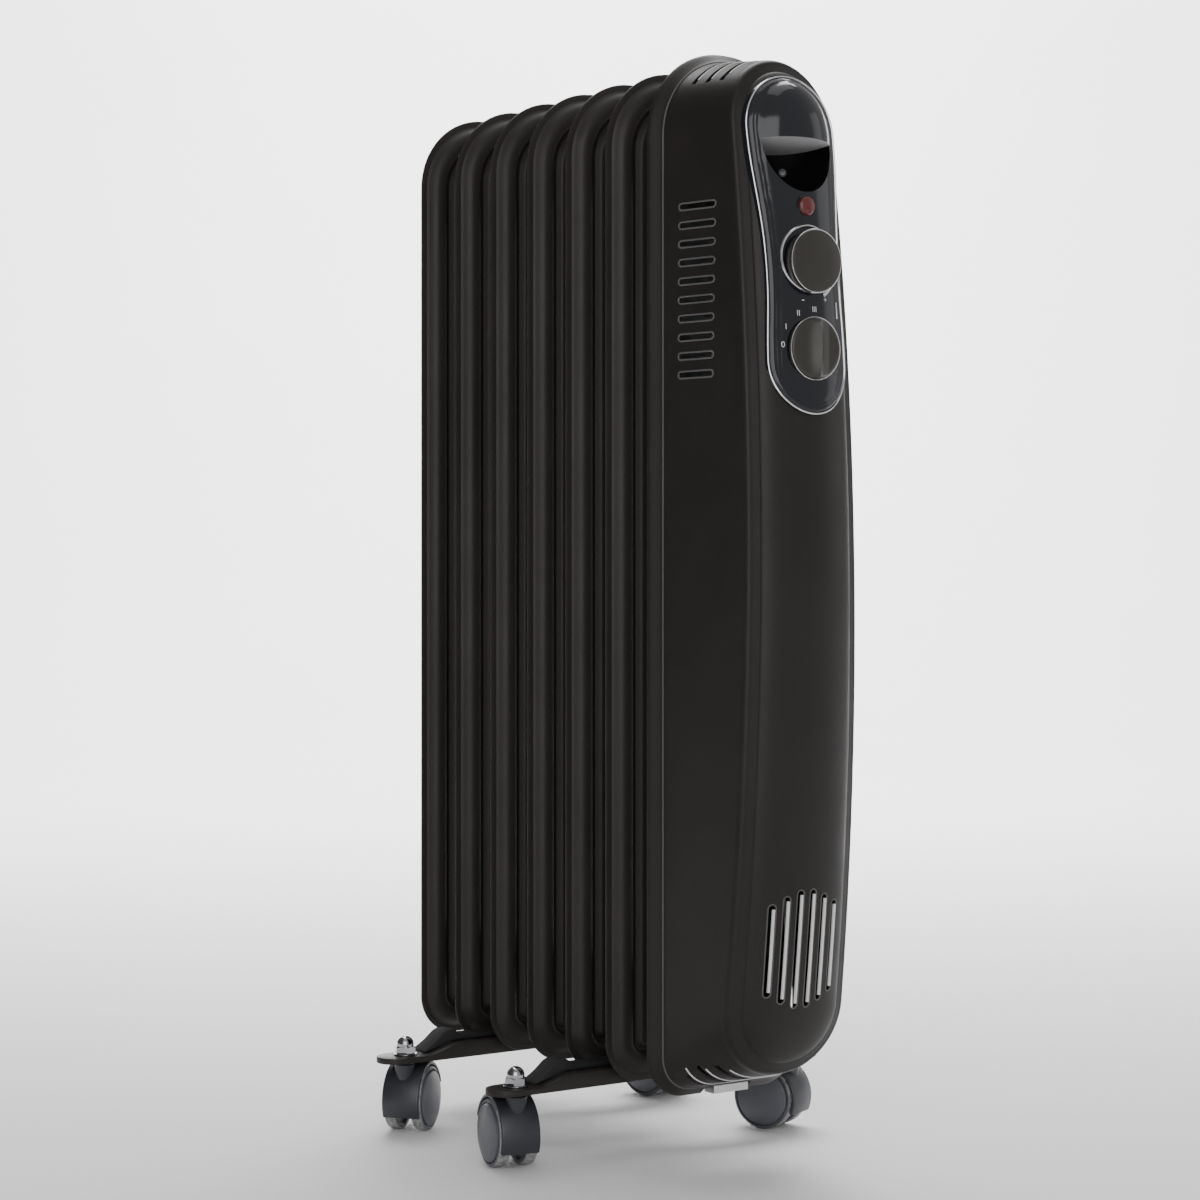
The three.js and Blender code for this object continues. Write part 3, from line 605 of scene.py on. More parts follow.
def build_headers():
    """Each header swells into a short welded hub at both faces of every fin."""
    hub_radius, hub_reach, face, fillet = HEADER_RADIUS + 5, 5.5, 6.2, 1.5
    front, rear, bore, end_wall = -92.0, 170.5, 12, 3
    for level, z in HEADERS.items():
        profile = [(bore, front), (HEADER_RADIUS - 0.6, front), (HEADER_RADIUS, front + 0.6)]
        for i in range(FIN_COUNT):
            y = FIN_1_Y + i * FIN_PITCH
            profile += [
                (HEADER_RADIUS, y - face - hub_reach),
                (HEADER_RADIUS + fillet, y - face - hub_reach * 0.4),
                (hub_radius, y - face + 0.4),
                (hub_radius, y + face - 0.4),
                (HEADER_RADIUS + fillet, y + face + hub_reach * 0.4),
                (HEADER_RADIUS, y + face + hub_reach),
            ]
        inside = rear - end_wall
        profile = [point for point in profile if front <= point[1] < inside]
        profile += [(HEADER_RADIUS, rear - 1), (HEADER_RADIUS - 1, rear), (0, rear)]
        profile += [(0, inside), (bore, inside), (bore, front)]
        bm = moved(turned(profile, 48), Matrix.Rotation(math.radians(-90), 4, "X"))
        moved(bm, Matrix.Translation((0, 0, z)))
        make_piece(f"{level}_header", bm, "fin_paint", replaces=[f"{level}_header_tube"])


# ------------------------------------------------------------ cover surface


def dome_half(z):
    """Half width of the front at its outer fold; the front is wider at the foot."""
    return DOME_HALF + (BOW_MIDDLE_Z - z) * DOME_TAPER


def fold_y(z):
    """The y of the front's outer fold, bowed forward from end to end."""
    return FOLD_Y + (z - BOW_MIDDLE_Z) ** 2 / (2 * BOW_RADIUS)


def crown(distance):
    """How far the front stands out of its outer fold, at a distance in from the fold."""
    if distance < BEAD_WIDTH:
        return BEAD_DEPTH * math.sqrt(max(0, 1 - (1 - distance / BEAD_WIDTH) ** 2))
    if distance < VALLEY_WIDTH:
        share = (distance - BEAD_WIDTH) / (VALLEY_WIDTH - BEAD_WIDTH)
        return BEAD_DEPTH + (VALLEY_DEPTH - BEAD_DEPTH) * share
    across = (DOME_HALF - distance) / (DOME_HALF - VALLEY_WIDTH)
    return VALLEY_DEPTH + (CROWN_DEPTH - VALLEY_DEPTH) * max(0, 1 - across**2) ** 0.7


def face_y(x, z):
    """The y of the cover's front over a point, ends and all."""
    share = dome_half(z) / DOME_HALF
    over = max(0, z - (DOME_TOP - DOME_HALF), DOME_BOTTOM + DOME_HALF - z)
    distance = DOME_HALF - math.hypot(x / share, over)
    return fold_y(z) - crown(max(0, distance))


def wall_x(y, z):
    """Half width of the cover's side wall at a depth and a height."""
    start = FLANGE["half"] - WALL_INSET
    share = (WALL_FRONT_Y - y) / (WALL_FRONT_Y - fold_y(z))
    return start + share * (dome_half(z) - start)


def dome_ring(distance):
    """A ring of the front, a distance in from its outer fold."""
    radius = DOME_HALF - distance - 0.2
    outline = tall_outline(
        half=DOME_HALF - distance, top=DOME_TOP - distance, bottom=DOME_BOTTOM + distance,
        top_radius=radius, bottom_radius=radius,
    )
    return [(x * dome_half(z) / DOME_HALF, fold_y(z) - crown(distance), z) for x, z in outline]


def flat_ring(outline, y):
    """A tall outline as a ring at one depth."""
    return [(x, y, z) for x, z in tall_outline(**outline)]


def blend_rings(first, second, share):
    """A ring between two, a share of the way from the first to the second."""
    return [tuple(Vector(a).lerp(Vector(b), share)) for a, b in zip(first, second)]


# the flange's section: how far in from its rim, and how far forward of its back
FLARE_STEPS = [(0.0, 0.0), (0.0, 1.2), (0.4, 1.9), (1.4, 3.1), (2.8, 4.7), (4.2, 6.3), (5.0, 7.4)]
WALL_STEPS = [0, 0.05, 0.2, 0.4, 0.6, 0.8, 0.97]  # shares of the way to the outer fold
# distances in from the outer fold to the middle of the crown
FRONT_STEPS = [0, 0.1, 0.3, 0.6, 1, 1.5, 2.2, 3, 4.2, 5.6, 6.8, 7.5, 7.7, 8.2, 9.2, 11, 13.5,
               16.5, 20, 24, 28, 32, 35.5, 38]


def cover_skin():
    """The open shell of the cover, from its flange to the middle of its crown."""
    wall = flat_ring(inset(FLANGE, WALL_INSET), WALL_FRONT_Y)
    fold = dome_ring(0)
    rings = [flat_ring(inset(FLANGE, amount), FLANGE_BACK_Y - depth) for amount, depth in FLARE_STEPS]
    rings += [blend_rings(wall, fold, share) for share in WALL_STEPS]
    rings += [dome_ring(distance) for distance in FRONT_STEPS]
    bm = bmesh.new()
    last = skin(bm, rings)[-1]
    half = len(last) // 2
    bmesh.ops.bridge_loops(bm, edges=last[: half - 1] + last[half:-1])
    holes = [edge for edge in last if len(edge.link_faces) < 2]
    bmesh.ops.holes_fill(bm, edges=holes, sides=0)
    return outward(bm)


def rounded_slot(length, width, steps=6):
    """A slot's outline about its own middle: long way first."""
    radius = width / 2
    reach = length / 2 - radius
    return (arc(reach, 0, radius, radius, -90, 90, steps)
            + arc(-reach, 0, radius, radius, 90, 270, steps))


def grille_cutter(x, length, back_y):
    """The room of one upright slot of the grille."""
    outline = [(x + a, GRILLE_Z + b) for b, a in rounded_slot(length, GRILLE_WIDTH)]
    return slab(outline, PAST_FRONT_Y, back_y)


def louvre_cutter(side, z):
    """The room of one level slot, through one side wall."""
    points = rounded_slot(LOUVRE_LENGTH, LOUVRE_WIDTH)
    inside, outside = 30, 60
    return solid([[(side * x, LOUVRE_Y + a, z + b) for a, b in points] for x in (inside, outside)])


def vent_cutter(y, low, high):
    """The room of one vent that runs across the cover."""
    bm = bmesh.new()
    bmesh.ops.create_cube(bm, size=1)
    bmesh.ops.scale(bm, vec=(2 * VENT_HALF, VENT_WIDTH, high - low), verts=bm.verts)
    return moved(bm, Matrix.Translation((0, y, (low + high) / 2)))


def cover_cutters():
    """The grille, the louvres, the cross vents, the notch for the clip and the panel's opening."""
    behind_front = -120
    parts = [grille_cutter(side * x, length, behind_front) for x, length in GRILLE for side in (-1, 1)]
    parts += [louvre_cutter(side, z) for side in (-1, 1) for z in LOUVRE_ZS]
    over_top, under_foot = (602, 640), (30, 66)
    parts += [vent_cutter(y, low, high) for low, high in (over_top, under_foot) for y in VENT_YS]
    notch = [(-16, 30), (16, 30), (16, 48.2), (-16, 48.2)]
    parts.append(slab(notch, -95, -75))
    parts.append(slab(panel_outline(-PANEL_SEAT), PAST_FRONT_Y, behind_front + 1))
    return joined(*parts)


def louvre_lip(side, z):
    """The rolled lip round a level slot, sunk a little into the wall."""
    points = []
    for a, b in rounded_slot(LOUVRE_LENGTH + 0.8, LOUVRE_WIDTH + 0.8):
        points.append((side * (wall_x(LOUVRE_Y + a, z + b) - 0.1), LOUVRE_Y + a, z + b))
    return wire(points, 0.55, sides=2)


def grille_lip(x, length):
    """The rolled lip round an upright slot, sunk a little into the front."""
    points = []
    for a, b in rounded_slot(length + 0.6, GRILLE_WIDTH + 0.6, 8):
        points.append((x + b, face_y(x + b, GRILLE_Z + a) + 0.15, GRILLE_Z + a))
    return wire(points, 0.45, sides=2)


def build_cover():
    """The sheet shell, and the paler paint along its crease and the lips of its openings, which is a
    painted highlight.
    """
    shell = cover_skin()
    bmesh.ops.solidify(shell, geom=shell.faces[:], thickness=SHEET)
    bm = carved(shell, cover_cutters())
    make_piece("cover_shell", bm, "cover_paint", replaces=["control_cover"], sharp=35)
    lips = [wire(flat_ring(inset(FLANGE, WALL_INSET - 0.3), WALL_FRONT_Y + 0.5), 0.5)]
    for side in (-1, 1):
        lips += [louvre_lip(side, z) for z in LOUVRE_ZS]
        lips += [grille_lip(side * x, length) for x, length in GRILLE]
    piece = make_piece("vent_lips", joined(*lips), "cover_paint")
    # the crease and the lips take the paler enamel of a painted highlight
    piece.data.materials[0] = EDGE_HIGHLIGHT_PAINT


def grille_flank(x, length):
    """An upright pale line just right of a grille slot's middle: a painted highlight on the slot's flank.
    """
    line, reach, steps = x + 1.0, length / 2 - 2.5, 12
    heights = [GRILLE_Z - reach + 2 * reach * i / steps for i in range(steps + 1)]
    return wire([(line, face_y(line, z) + 0.4, z) for z in heights], 0.95, closed=False)


def vent_flanks(y):
    """Pale lines along the edges of a cross vent, over the top and under the foot: painted highlights."""
    wall, fold = flat_ring(inset(FLANGE, WALL_INSET), WALL_FRONT_Y), dome_ring(0)
    share = (WALL_FRONT_Y - y) / (WALL_FRONT_Y - fold_y(DOME_TOP))
    ring = [Vector(point) for point in blend_rings(wall, fold, share)]
    over = [point + Vector((0, -0.8, -0.5)) for point in ring if point.z > 604]
    under = [point + Vector((0, -0.8, 0.5)) for point in ring if point.z < 64]
    return [wire(sorted(end, key=lambda p: p.x), 0.5, closed=False) for end in (over, under)]


def build_bright_flanks():
    """A painted highlight: a pale line that shows along one side of each grille slot and cross vent."""
    flanks = [grille_flank(side * x, length) for x, length in GRILLE for side in (-1, 1)]
    for y in VENT_YS:
        flanks += vent_flanks(y)
    piece = make_piece("vent_flanks", joined(*flanks), "bare_steel")
    # the flank lines take the pale colour of a painted highlight
    piece.data.materials[0] = FLANK_HIGHLIGHT


# ------------------------------------------------------------ control panel


def bezier(corners, steps):
    """Points between the first and the last of four corners, without those two."""
    points = []
    for i in range(1, steps):
        t = i / steps
        weights = ((1 - t) ** 3, 3 * t * (1 - t) ** 2, 3 * t * t * (1 - t), t**3)
        points.append(tuple(sum(w * p[k] for w, p in zip(weights, corners)) for k in (0, 1)))
    return points


def panel_outline(grow=0.0):
    """The panel's teardrop, as points x, z: over the head, down the left, round the foot and up."""
    head, waist, foot = 30.4 + grow, 25.2 + grow, 26.8 + grow
    head_z, waist_z, foot_z = 573.5, 493, 447
    upper = [(-head, head_z), (-head, 546), (-waist, 528), (-waist, waist_z)]
    lower = [(-waist, waist_z), (-waist, 475), (-foot, 463), (-foot, foot_z)]
    upper_right = [(-x, z) for x, z in reversed(upper)]
    lower_right = [(-x, z) for x, z in reversed(lower)]
    points = arc(0, head_z, head, head, 0, 180, 40)
    points += bezier(upper, 36) + [(-waist, waist_z)] + bezier(lower, 20)
    points += arc(0, foot_z, foot, 28 + grow, 180, 360, 40)
    return points + bezier(lower_right, 20) + [(waist, waist_z)] + bezier(upper_right, 36)


def edge_distance():
    """A lookup of how far a point x, z is from the panel's outline."""
    corners = [Vector(point) for point in panel_outline()]
    tree = KDTree(len(corners))
    for i, corner in enumerate(corners):
        tree.insert(corner.to_3d(), i)
    tree.balance()

    def distance(x, z):
        point = Vector((x, z))
        nearest = tree.find(point.to_3d())[1]
        best = math.inf
        for start in (nearest - 1, nearest):
            first, second = corners[start], corners[(start + 1) % len(corners)]
            spot, share = intersect_point_line(point, first, second)
            if share < 0:
                spot = first
            elif share > 1:
                spot = second
            best = min(best, (point - Vector(spot[:2])).length)
        return best

    return distance


EDGE_DISTANCE = edge_distance()
PANEL_MESH = 2  # spacing of the lines that let the panel's face curve
# distance in from the outline, and how far the panel stands proud of the cover there
PANEL_STEPS = [(0.0, 1.2), (0.6, 1.5), (1.3, 2.2), (2.0, 2.7), (3.0, 2.95), (3.5, 2.85), (4.0, 2.95),
               (5.0, 3.1), (5.5, 3.0), (6.0, 3.1), (7.0, 3.3), (8.6, 3.5)]


def panel_proud(distance):
    """How far the panel stands proud, at a distance in from its outline."""
    for (d0, h0), (d1, h1) in zip(PANEL_STEPS, PANEL_STEPS[1:]):
        if distance <= d1:
            return h0 + (h1 - h0) * max(0, distance - d0) / (d1 - d0)
    return PANEL_PROUD


def panel_base_y(x, z):
    """The surface that the panel is laid on: the cover's front, with an easier curve."""
    over = max(0, z - (DOME_TOP - DOME_HALF))
    across = math.hypot(x, over) / (DOME_HALF - VALLEY_WIDTH)
    return fold_y(z) - CROWN_DEPTH + PANEL_CURVE * across**2


def hood_y(x, z):
    """The front of the hood over the pocket; elsewhere it lies sunk behind the panel's face."""
    across, up = x / HOOD_HALF, (max(z, POCKET_Z) - POCKET_Z) / HOOD_HEIGHT
    sink = max(0, POCKET_Z - 3 - z) * 2.0
    return HOOD_BACK_Y - HOOD_BULGE * math.sqrt(max(0, 1 - across**2 - up**2)) + sink


def panel_y(x, z):
    """The panel's face and the hood, run together with a small fillet between them."""
    fillet = 1.0
    face, hood = panel_base_y(x, z) - panel_proud(EDGE_DISTANCE(x, z)), hood_y(x, z)
    mixed = max(0, fillet - abs(face - hood)) / fillet
    return min(face, hood) - mixed**2 * fillet / 4


def pocket_outline(scale=1.0):
    """Straight above, half an oval below."""
    return arc(0, POCKET_Z, POCKET_HALF * scale, POCKET_HEIGHT * scale, 180, 360, 40)


def pocket_cutter():
    """The room for a hand: straight in from the front, then a bowl."""
    last_angle, steps = 85, 12
    rings = [[(x, PAST_FRONT_Y, z) for x, z in pocket_outline()]]
    for i in range(steps + 1):
        angle = math.radians(last_angle * i / steps)
        y = POCKET_MOUTH_Y + POCKET_DEPTH * math.sin(angle)
        rings.append([(x, y, z) for x, z in pocket_outline(math.cos(angle))])
    return solid([[(x, y, z - LIP_SLOPE * (y - LIP_Y)) for x, y, z in ring] for ring in rings])


def pocket_part(face):
    """0 for the panel's own face, 1 for the bowl of its pocket, in painted shade, 2 for the lip's
    underside, painted pale for the bright floor it reflects.
    """
    x, y, z = face.calc_center_median()
    at_back = y > PANEL_BACK_Y - 1
    at_front = y < panel_y(x, z) + 0.7
    if at_back or at_front or EDGE_DISTANCE(x, z) < 2:
        return 0
    return 2 if face.normal.z < -0.9 and z > POCKET_Z - 6 else 1


def build_panel():
    """A flat teardrop cut into a fine mesh, laid on its surface, closed behind and hollowed."""
    bm = bmesh.new()
    face = bm.faces.new([bm.verts.new((x, 0, z)) for x, z in panel_outline()])
    for (nearer, _), (deeper, _) in zip(PANEL_STEPS, PANEL_STEPS[1:]):
        step_in(bm, face, deeper - nearer)
    for x in range(-30, 31, PANEL_MESH):
        crossed(bm, (x, 0, 0), (1, 0, 0))
    for z in range(421, 604, PANEL_MESH):
        crossed(bm, (0, 0, z + 0.3), (0, 0, 1))
    for vert in bm.verts:
        vert.co.y = panel_y(vert.co.x, vert.co.z)
    close_back(bm, 1, PANEL_BACK_Y)
    bm = carved(bm, pocket_cutter())
    for face in bm.faces:
        face.material_index = pocket_part(face)
    make_piece("panel_moulding", bm, "gloss_black", replaces=["control_panel"], sharp=50,
               extra=[POCKET_DARK, LIP_PAINTED_REFLECTION])
    line = [(x, panel_base_y(x, z) - 1.9, z) for x, z in panel_outline(-0.3)]
    make_piece("bright_outline", wire(line, 0.55), "chrome_trim", replaces=["panel_trim"])


def build_screws():
    """Screw heads let into the bowl of the pocket, each square to the bowl where it sits."""
    profile = [(0, -1), (2.6, -1), (2.6, 0.7), (1.9, 1.4), (0.9, 1.5), (0.7, 0.9), (0, 0.9)]
    for name, x, z in (("left_panel_screw", -19.5, 562.5), ("right_panel_screw", 10.0, 558.0)):
        across, down = x / POCKET_HALF, (z - POCKET_Z) / POCKET_HEIGHT
        depth = POCKET_DEPTH * math.sqrt(1 - across**2 - down**2)
        y = POCKET_MOUTH_Y + depth
        out = Vector((-across / POCKET_HALF, -depth / POCKET_DEPTH**2, -down / POCKET_HEIGHT))
        turn = out.to_track_quat("Z", "Y").to_matrix().to_4x4()
        place = Matrix.Translation((x, y, z - LIP_SLOPE * (y - LIP_Y))) @ turn
        bm = moved(turned(profile, 24), place)
        make_piece(f"{name}_head", bm, "bare_steel", replaces=[name])


def build_lamp():
    """A domed red lens in a narrow black bezel."""
    place = facing_front(0, LAMP_Z, panel_y(0, LAMP_Z))
    lens = turned([(0, -4), (5.3, -4), (5.4, 0.6), (5.0, 1.3), (3.8, 2.0), (2.0, 2.5), (0, 2.7)], 40)
    make_piece("lamp_cap", moved(lens, place), "red_lens", replaces=["lamp_lens"])
    bezel = turned([(5.45, -3), (6.3, -3), (6.3, 0.2), (6.0, 0.6), (5.6, 0.5), (5.45, -3)], 40)
    make_piece("lamp_bezel", moved(bezel, place), "gloss_black")


# ------------------------------------------------------------ dials


def lay_on_plain(bm, lift):
    """Drops a flat shape on the panel's plain face, above any line in its border."""
    for vert in bm.verts:
        vert.co.y += panel_base_y(vert.co.x, vert.co.z) - PANEL_PROUD - lift
    return bm


def build_dial_edge(dial, radius, y, z):
    """A fine bright line round the front edge of a dial."""
    angles = [math.tau * i / DIAL_STEPS for i in range(DIAL_STEPS)]
    edge = [(radius * math.cos(a), y, z + radius * math.sin(a)) for a in angles]
    make_piece(f"{dial}_edge", wire(edge, DIAL_EDGE_RADIUS), "chrome_trim", body=f"{dial}_dial")


def build_thermostat():
    """A smooth round cap, and the bright ring laid on the panel round it."""
    ring = turned([(17.3, 0), (18.7, 0), (18.7, 0.5), (18.3, 1.0), (17.7, 1.0), (17.3, 0.6),
                   (17.3, 0)], DIAL_STEPS)
    moved(ring, facing_front(0, RING_Z))
    make_piece("dial_ring", lay_on_plain(ring, 0.0), "chrome_trim", replaces=["thermostat_ring"])
    front, back = 165.4, 157.5
    profile = [(0, back), (15.8, back), (16.5, back + 1), (17.0, front - 2.4), (16.9, front - 1.4),
               (16.2, front - 0.6), (13, front + 0.1), (8, front + 0.6), (0, front + 0.8)]
    bm = turned(profile, DIAL_STEPS)
    make_piece("thermostat_cap", moved(bm, facing_front(0, THERMOSTAT_Z)), "knob_plastic",
               body="thermostat_dial", replaces=["thermostat_knob"])
    build_dial_edge("thermostat", 16.95, -front + 1.5, THERMOSTAT_Z)


def build_selector():
    """A round dial pinched up into an upright grip."""
    radius, back, base, rise = 16.8, 161.0, 164.4, 4.6
    rim_width, rim_drop, grip_half, bands = 1.6, 1.2, 9, 20
    bm = bmesh.new()
    bmesh.ops.create_circle(bm, cap_ends=True, radius=radius, segments=DIAL_STEPS)
    face = bm.faces[:][0]
    for _ in range(bands - 1):
        step_in(bm, face, radius / bands)
    bmesh.ops.poke(bm, faces=[face])
    for vert in bm.verts:
        across, along = vert.co.x, vert.co.y
        rim = min(1, max(0, (radius - math.hypot(across, along)) / rim_width))
        length = math.sqrt(max(0, 1 - (along / radius) ** 2))
        ridge = max(0, 1 - abs(across) / grip_half) ** 1.7 * length**0.6
        vert.co.z = base - rim_drop * (1 - rim) ** 2 + rise * ridge * min(1, rim * 1.4)
    close_back(bm, 2, back)
    make_piece("selector_cap", moved(bm, facing_front(0, SELECTOR_Z)), "knob_plastic",
               body="selector_dial", replaces=["selector_knob"], sharp=45)
    build_dial_edge("selector", radius + 0.05, -base + 1.3, SELECTOR_Z)


def text_outline(text, size):
    """A thin flat shape of some letters, about their middle."""
    curve = bpy.data.curves.new("mark", "FONT")
    curve.body = text
    curve.size = size
    curve.align_x = "CENTER"
    curve.align_y = "CENTER"
    curve.extrude = 0.05
    curve.resolution_u = 4
    return shape_of(curve)


# each mark's text, the x and z of its middle, and its size
MARKS = {
    "mark_off": ("0", -19.3, 455.7, 4.6),
    "mark_one": ("I", -17.2, 465.4, 4.4),
    "mark_two": ("II", -9.6, 473.0, 4.4),
    "mark_three": ("III", 1.0, 475.4, 4.4),
    "mark_minus": ("-", -6.2, 480.6, 6.0),
    "mark_plus": ("+", 9.5, 481.0, 4.6),
}


def print_mark(name, bm):
    """Lays a flat shape on the panel as a printed mark."""
    piece = make_piece(name, lay_on_plain(bm, PRINT_LIFT), "chrome_trim")
    piece.data.materials[0] = INK


def build_marks():
    """The letters, and a wedge and a bar that swell toward the plus."""
    for name, (text, x, z, size) in MARKS.items():
        print_mark(name, moved(text_outline(text, size), facing_front(x, z)))
    bm = bmesh.new()
    radius, swell = 20.2, 0.006
    inner = arc(0, RING_Z, radius, radius, -66, -18, 16)
    outer = [(x * (1 + swell * i), RING_Z + (z - RING_Z) * (1 + swell * i))
             for i, (x, z) in enumerate(reversed(inner))]
    bar = [(18.2, 471.5), (19.6, 471.5), (19.2, 480.5), (18.6, 480.5)]
    for outline in (inner + outer, bar):
        bm.faces.new([bm.verts.new((x, 0, z)) for x, z in outline])
    bmesh.ops.solidify(bm, geom=bm.faces[:], thickness=0.1)
    print_mark("mark_heat_wedge", outward(bm))


# ------------------------------------------------------------ feet


def bracket_top(x):
    """Height of the bracket's top: low arms, a smooth ramp and a raised bridge."""
    share = min(1, max(0, (RAMP_FOOT_X - abs(x)) / RAMP_LENGTH))
    return ARM_TOP + (BRIDGE_TOP - ARM_TOP) * (3 * share**2 - 2 * share**3)


def build_bracket(end, y):
    """A channel open underneath, its lower edge straight and its top raised in the middle."""
    sheet, hole_radius, hole_x = 1.6, 1.6, 80
    radius = BRACKET_HALF_WIDTH
    reach = BRACKET_REACH - radius
    plan = arc(reach, 0, radius, radius, -90, 90, 20) + arc(-reach, 0, radius, radius, 90, 270, 20)
    bm = bmesh.new()
    bm.faces.new([bm.verts.new((px, py, BRACKET_BOTTOM)) for px, py in plan])
    for x in [side * (62 + 2 * i) for i in range(15) for side in (-1, 1)]:
        crossed(bm, (x, 0, 0), (1, 0, 0))
    lifted = bmesh.ops.extrude_face_region(bm, geom=bm.faces[:])["geom"]
    for vert in picked(lifted, bmesh.types.BMVert):
        vert.co.z = bracket_top(vert.co.x)
    outward(bm)
    under = [f for f in bm.faces if max(v.co.z for v in f.verts) < BRACKET_BOTTOM + 0.1]
    bmesh.ops.inset_region(bm, faces=under, thickness=sheet, use_even_offset=True)
    for vert in {v for f in under for v in f.verts}:
        vert.co.z = bracket_top(vert.co.x) - sheet
    soften(bm, 0.7, 3, 50)
    bore = [(0, 30), (hole_radius, 30), (hole_radius, 70), (0, 70)]
    holes = [moved(turned(bore, 24), Matrix.Translation((side * hole_x, 0, 0))) for side in (-1, 1)]
    bm = carved(outward(bm), joined(*holes))
    moved(bm, Matrix.Translation((0, y, 0)))
    make_piece(f"{end}_foot_channel", bm, "fin_paint", replaces=[f"{end}_foot_bracket"])


def build_pad(end, y):
    """A rubber strip over the bridge, with a raised hump at each end."""
    half = [(88, ARM_TOP + 0.3), (87, ARM_TOP + 1.8), (80, 52.5), (74, 57.5), (70.5, 59), (66, 59),
            (61, BRIDGE_TOP + 3.2)]
    under = [(-66, BRIDGE_TOP + 0.3), (66, BRIDGE_TOP + 0.3)]
    outline = half + [(-x, z) for x, z in reversed(half)] + under
    bm = soften(slab(outline, y - 4.5, y + 9), 0.8, angle=20)
    make_piece(f"{end}_rubber_strip", bm, "black_rubber", replaces=[f"{end}_bracket_pad"])


def build_stem(name, x, y, heading):
    """The collar and pin under the bracket and the domed nut over it."""
    pin = turned([(0, 28), (2.6, 28), (3, 28.6), (3, 42.0), (5.4, 42.0), (5.6, 42.2), (5.6, 44.1),
                  (5.4, 44.3), (0, 44.3)], 32)
    washer = turned([(0, 46.5), (6.8, 46.5), (7.0, 46.7), (7.0, 47.1), (6.8, 47.3), (0, 47.3)], 40)
    hexagon, corner = bmesh.new(), 6.4
    bmesh.ops.create_cone(hexagon, cap_ends=True, segments=6, radius1=corner, radius2=corner, depth=4.4)
    moved(hexagon, Matrix.Translation((0, 0, 49.4)))
    blank = turned([(0, 47.2), (5.7, 47.2), (6.45, 47.8), (6.45, 50.7), (5.6, 51.6), (0, 51.6)], 48)
    nut = carved(hexagon, blank, "INTERSECT")
    dome = turned([(0, 51), (5.0, 51), (5.1, 53.0), (4.9, 54.4), (4.2, 55.8), (3.0, 56.9),
                   (1.5, 57.6), (0, 57.8)], 40)
    turn = Matrix.Translation((x, y, 0)) @ Matrix.Rotation(math.radians(heading), 4, "Z")
    bm = moved(joined(pin, washer, nut, dome), turn)
    for face in bm.faces:
        face.material_index = 1 if face.calc_center_median().z < 45 else 0
    make_piece(f"{name}_cap_nut", bm, "chrome_nut", replaces=[f"{name}_caster_stem"], sharp=28,
               extra=[FINISHES["caster_plastic"]])


def spun_sector(profile, start, end, steps):
    """A closed section of points radius, offset, swung about the axle from one angle to another."""
    bm = bmesh.new()
    tilt = Matrix.Rotation(math.radians(-start), 4, "Y")
    bm.faces.new([bm.verts.new((radius, offset, 0)) for radius, offset in profile])
    moved(bm, tilt)
    bmesh.ops.spin(
        bm, geom=all_of(bm), cent=(0, 0, 0), axis=(0, -1, 0),
        angle=math.radians(end - start), steps=steps,
    )
    return outward(bm)


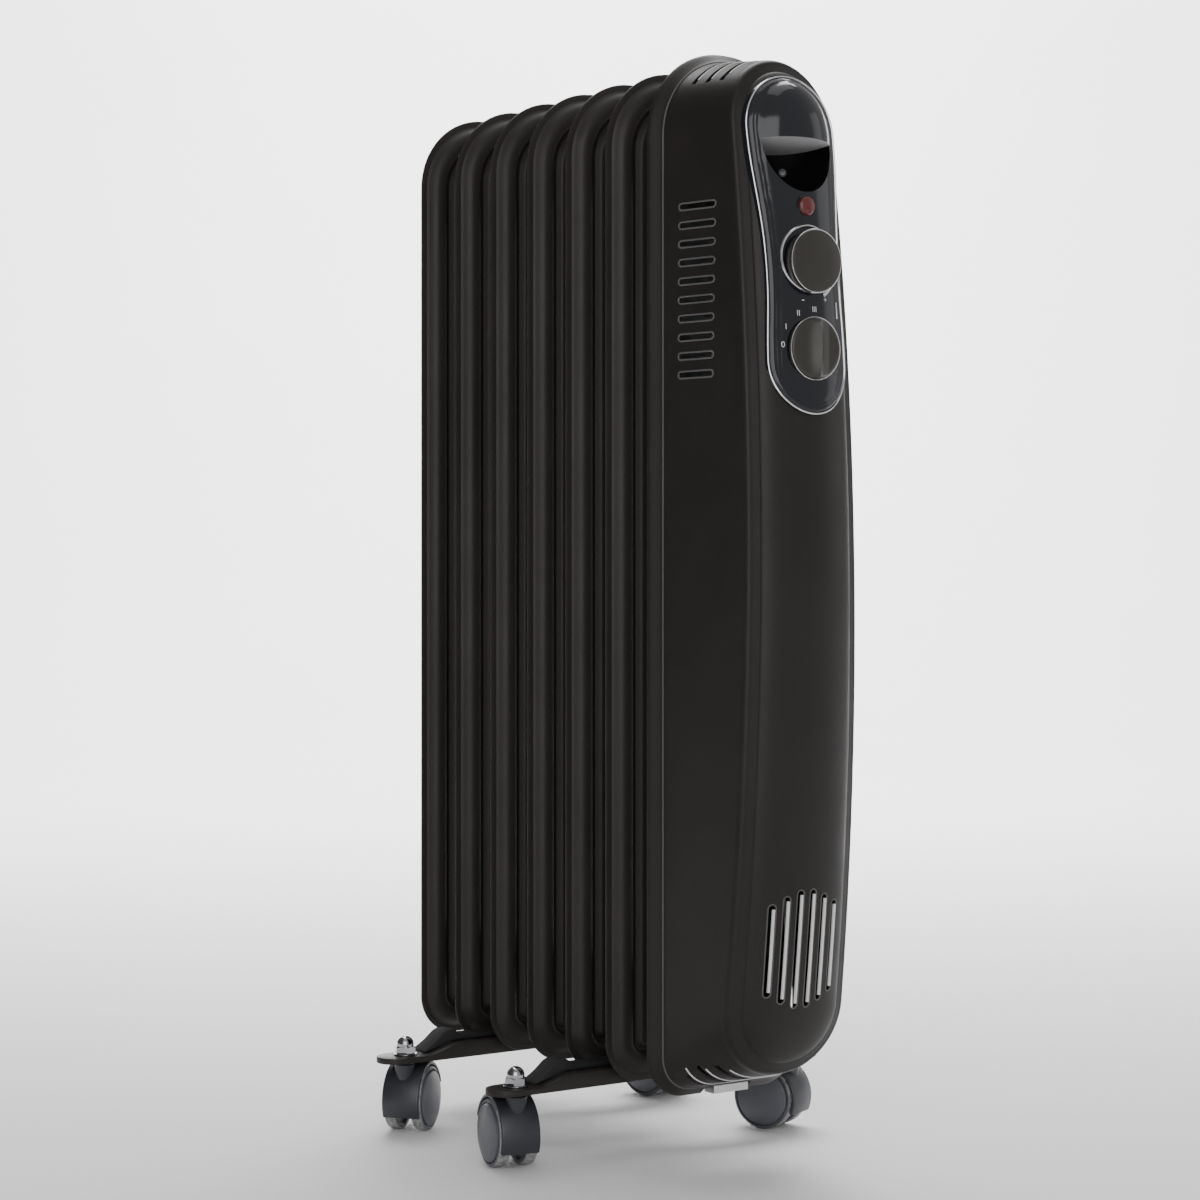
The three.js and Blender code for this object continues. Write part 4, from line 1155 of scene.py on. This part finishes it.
def build_caster(name, x, y, heading):
    """The hood of a caster - a fender, its web, its hub and the boss for the stem - and its wheels."""
    place = Matrix.Translation((x, y, 0)) @ Matrix.Rotation(math.radians(heading), 4, "Z")
    axle = place @ Matrix.Translation((-CASTER_TRAIL, 0, WHEEL_RADIUS))
    fender = spun_sector(
        [(20.0, -11.4), (20.0, 11.4), (21.0, 11.5), (21.7, 11.1), (22.0, 10.4),
         (22.0, -10.4), (21.7, -11.1), (21.0, -11.5)], -24, 162, 44)
    web = spun_sector([(3.3, -4.5), (3.3, 4.5), (20.3, 4.5), (20.3, -4.5)], -20, 158, 30)
    hub = turned([(3.2, -4.6), (7.6, -4.6), (8, -4.2), (8, 4.2), (7.6, 4.6), (3.2, 4.6), (3.2, -4.6)], 40)
    moved(hub, Matrix.Rotation(math.radians(90), 4, "X"))
    boss = turned([(3.3, 41.5), (5.6, 41.5), (6.3, 41.0), (5.9, 37), (4.9, 31), (3.6, 25), (3.3, 25),
                   (3.3, 41.5)], 40)
    moved(boss, Matrix.Translation((CASTER_TRAIL + 0.6, 0, -WHEEL_RADIUS)))
    shell = moved(joined(fender, web, hub, boss), axle)
    make_piece(f"{name}_fender", shell, "caster_plastic", body=f"{name}_swivel",
               replaces=[f"{name}_caster_hood"])
    for letter, side in (("a", 1), ("b", -1)):
        build_wheel(name, letter, axle @ Matrix.Rotation(math.radians(-90 * side), 4, "X"))


def build_wheel(name, letter, place):
    """A tyre with a lighter tread, and a bulged disc let into its outer face."""
    profile = [
        (3.35, 5.0), (9, 5.0), (9.5, 7.0), (15.5, 7.0), (16.2, 5.0), (18.1, 5.0), (18.7, 5.3),
        (19.0, 6.0), (19.0, 10.8), (18.6, 11.6), (17.9, 12.0), (17.3, 11.9), (16.9, 10.8),
        (16.4, 10.8), (16.3, 12.2), (15.7, 12.9), (13, 13.7), (9, 14.4), (4.5, 14.75), (0, 14.8),
        (0, 13), (3.35, 13), (3.35, 5.0),
    ]
    bm = turned(profile, 72)
    for face in bm.faces:
        middle = face.calc_center_median()
        reach = math.hypot(middle.x, middle.y)
        face.material_index = 1 if reach > 18.2 and middle.z < 11.4 else 0
    make_piece(f"{name}_rolling_wheel_{letter}", moved(bm, place), "caster_wheel",
               body=f"{name}_roller_{letter}", replaces=[f"{name}_wheel_{letter}"], extra=[TREAD])


def build_feet():
    """Two brackets with their pads, and a caster at both ends of each."""
    for end, y in BRACKETS.items():
        build_bracket(end, y)
        build_pad(end, y)
    for name, (x, y, heading) in CASTERS.items():
        build_stem(name, x, y, heading)
        build_caster(name, x, y, heading)


# ------------------------------------------------------------ carried-over CAD pieces


def dress_cad():
    """Gives every CAD piece the finish of its slot; a piece that is replaced isn't seen."""
    slots = {row["node"]: row["material_slot"] for row in frame["record"]["subparts"]}
    for node, piece in frame["nodes"].items():
        piece.data.materials.clear()
        piece.data.materials.append(FINISHES[slots[node]])


place_camera()
dress_world()
light_studio()
lay_floor()
dress_cad()
build_fins()
build_headers()
build_cover()
build_bright_flanks()
build_panel()
build_screws()
build_lamp()
build_thermostat()
build_selector()
build_marks()
build_feet()
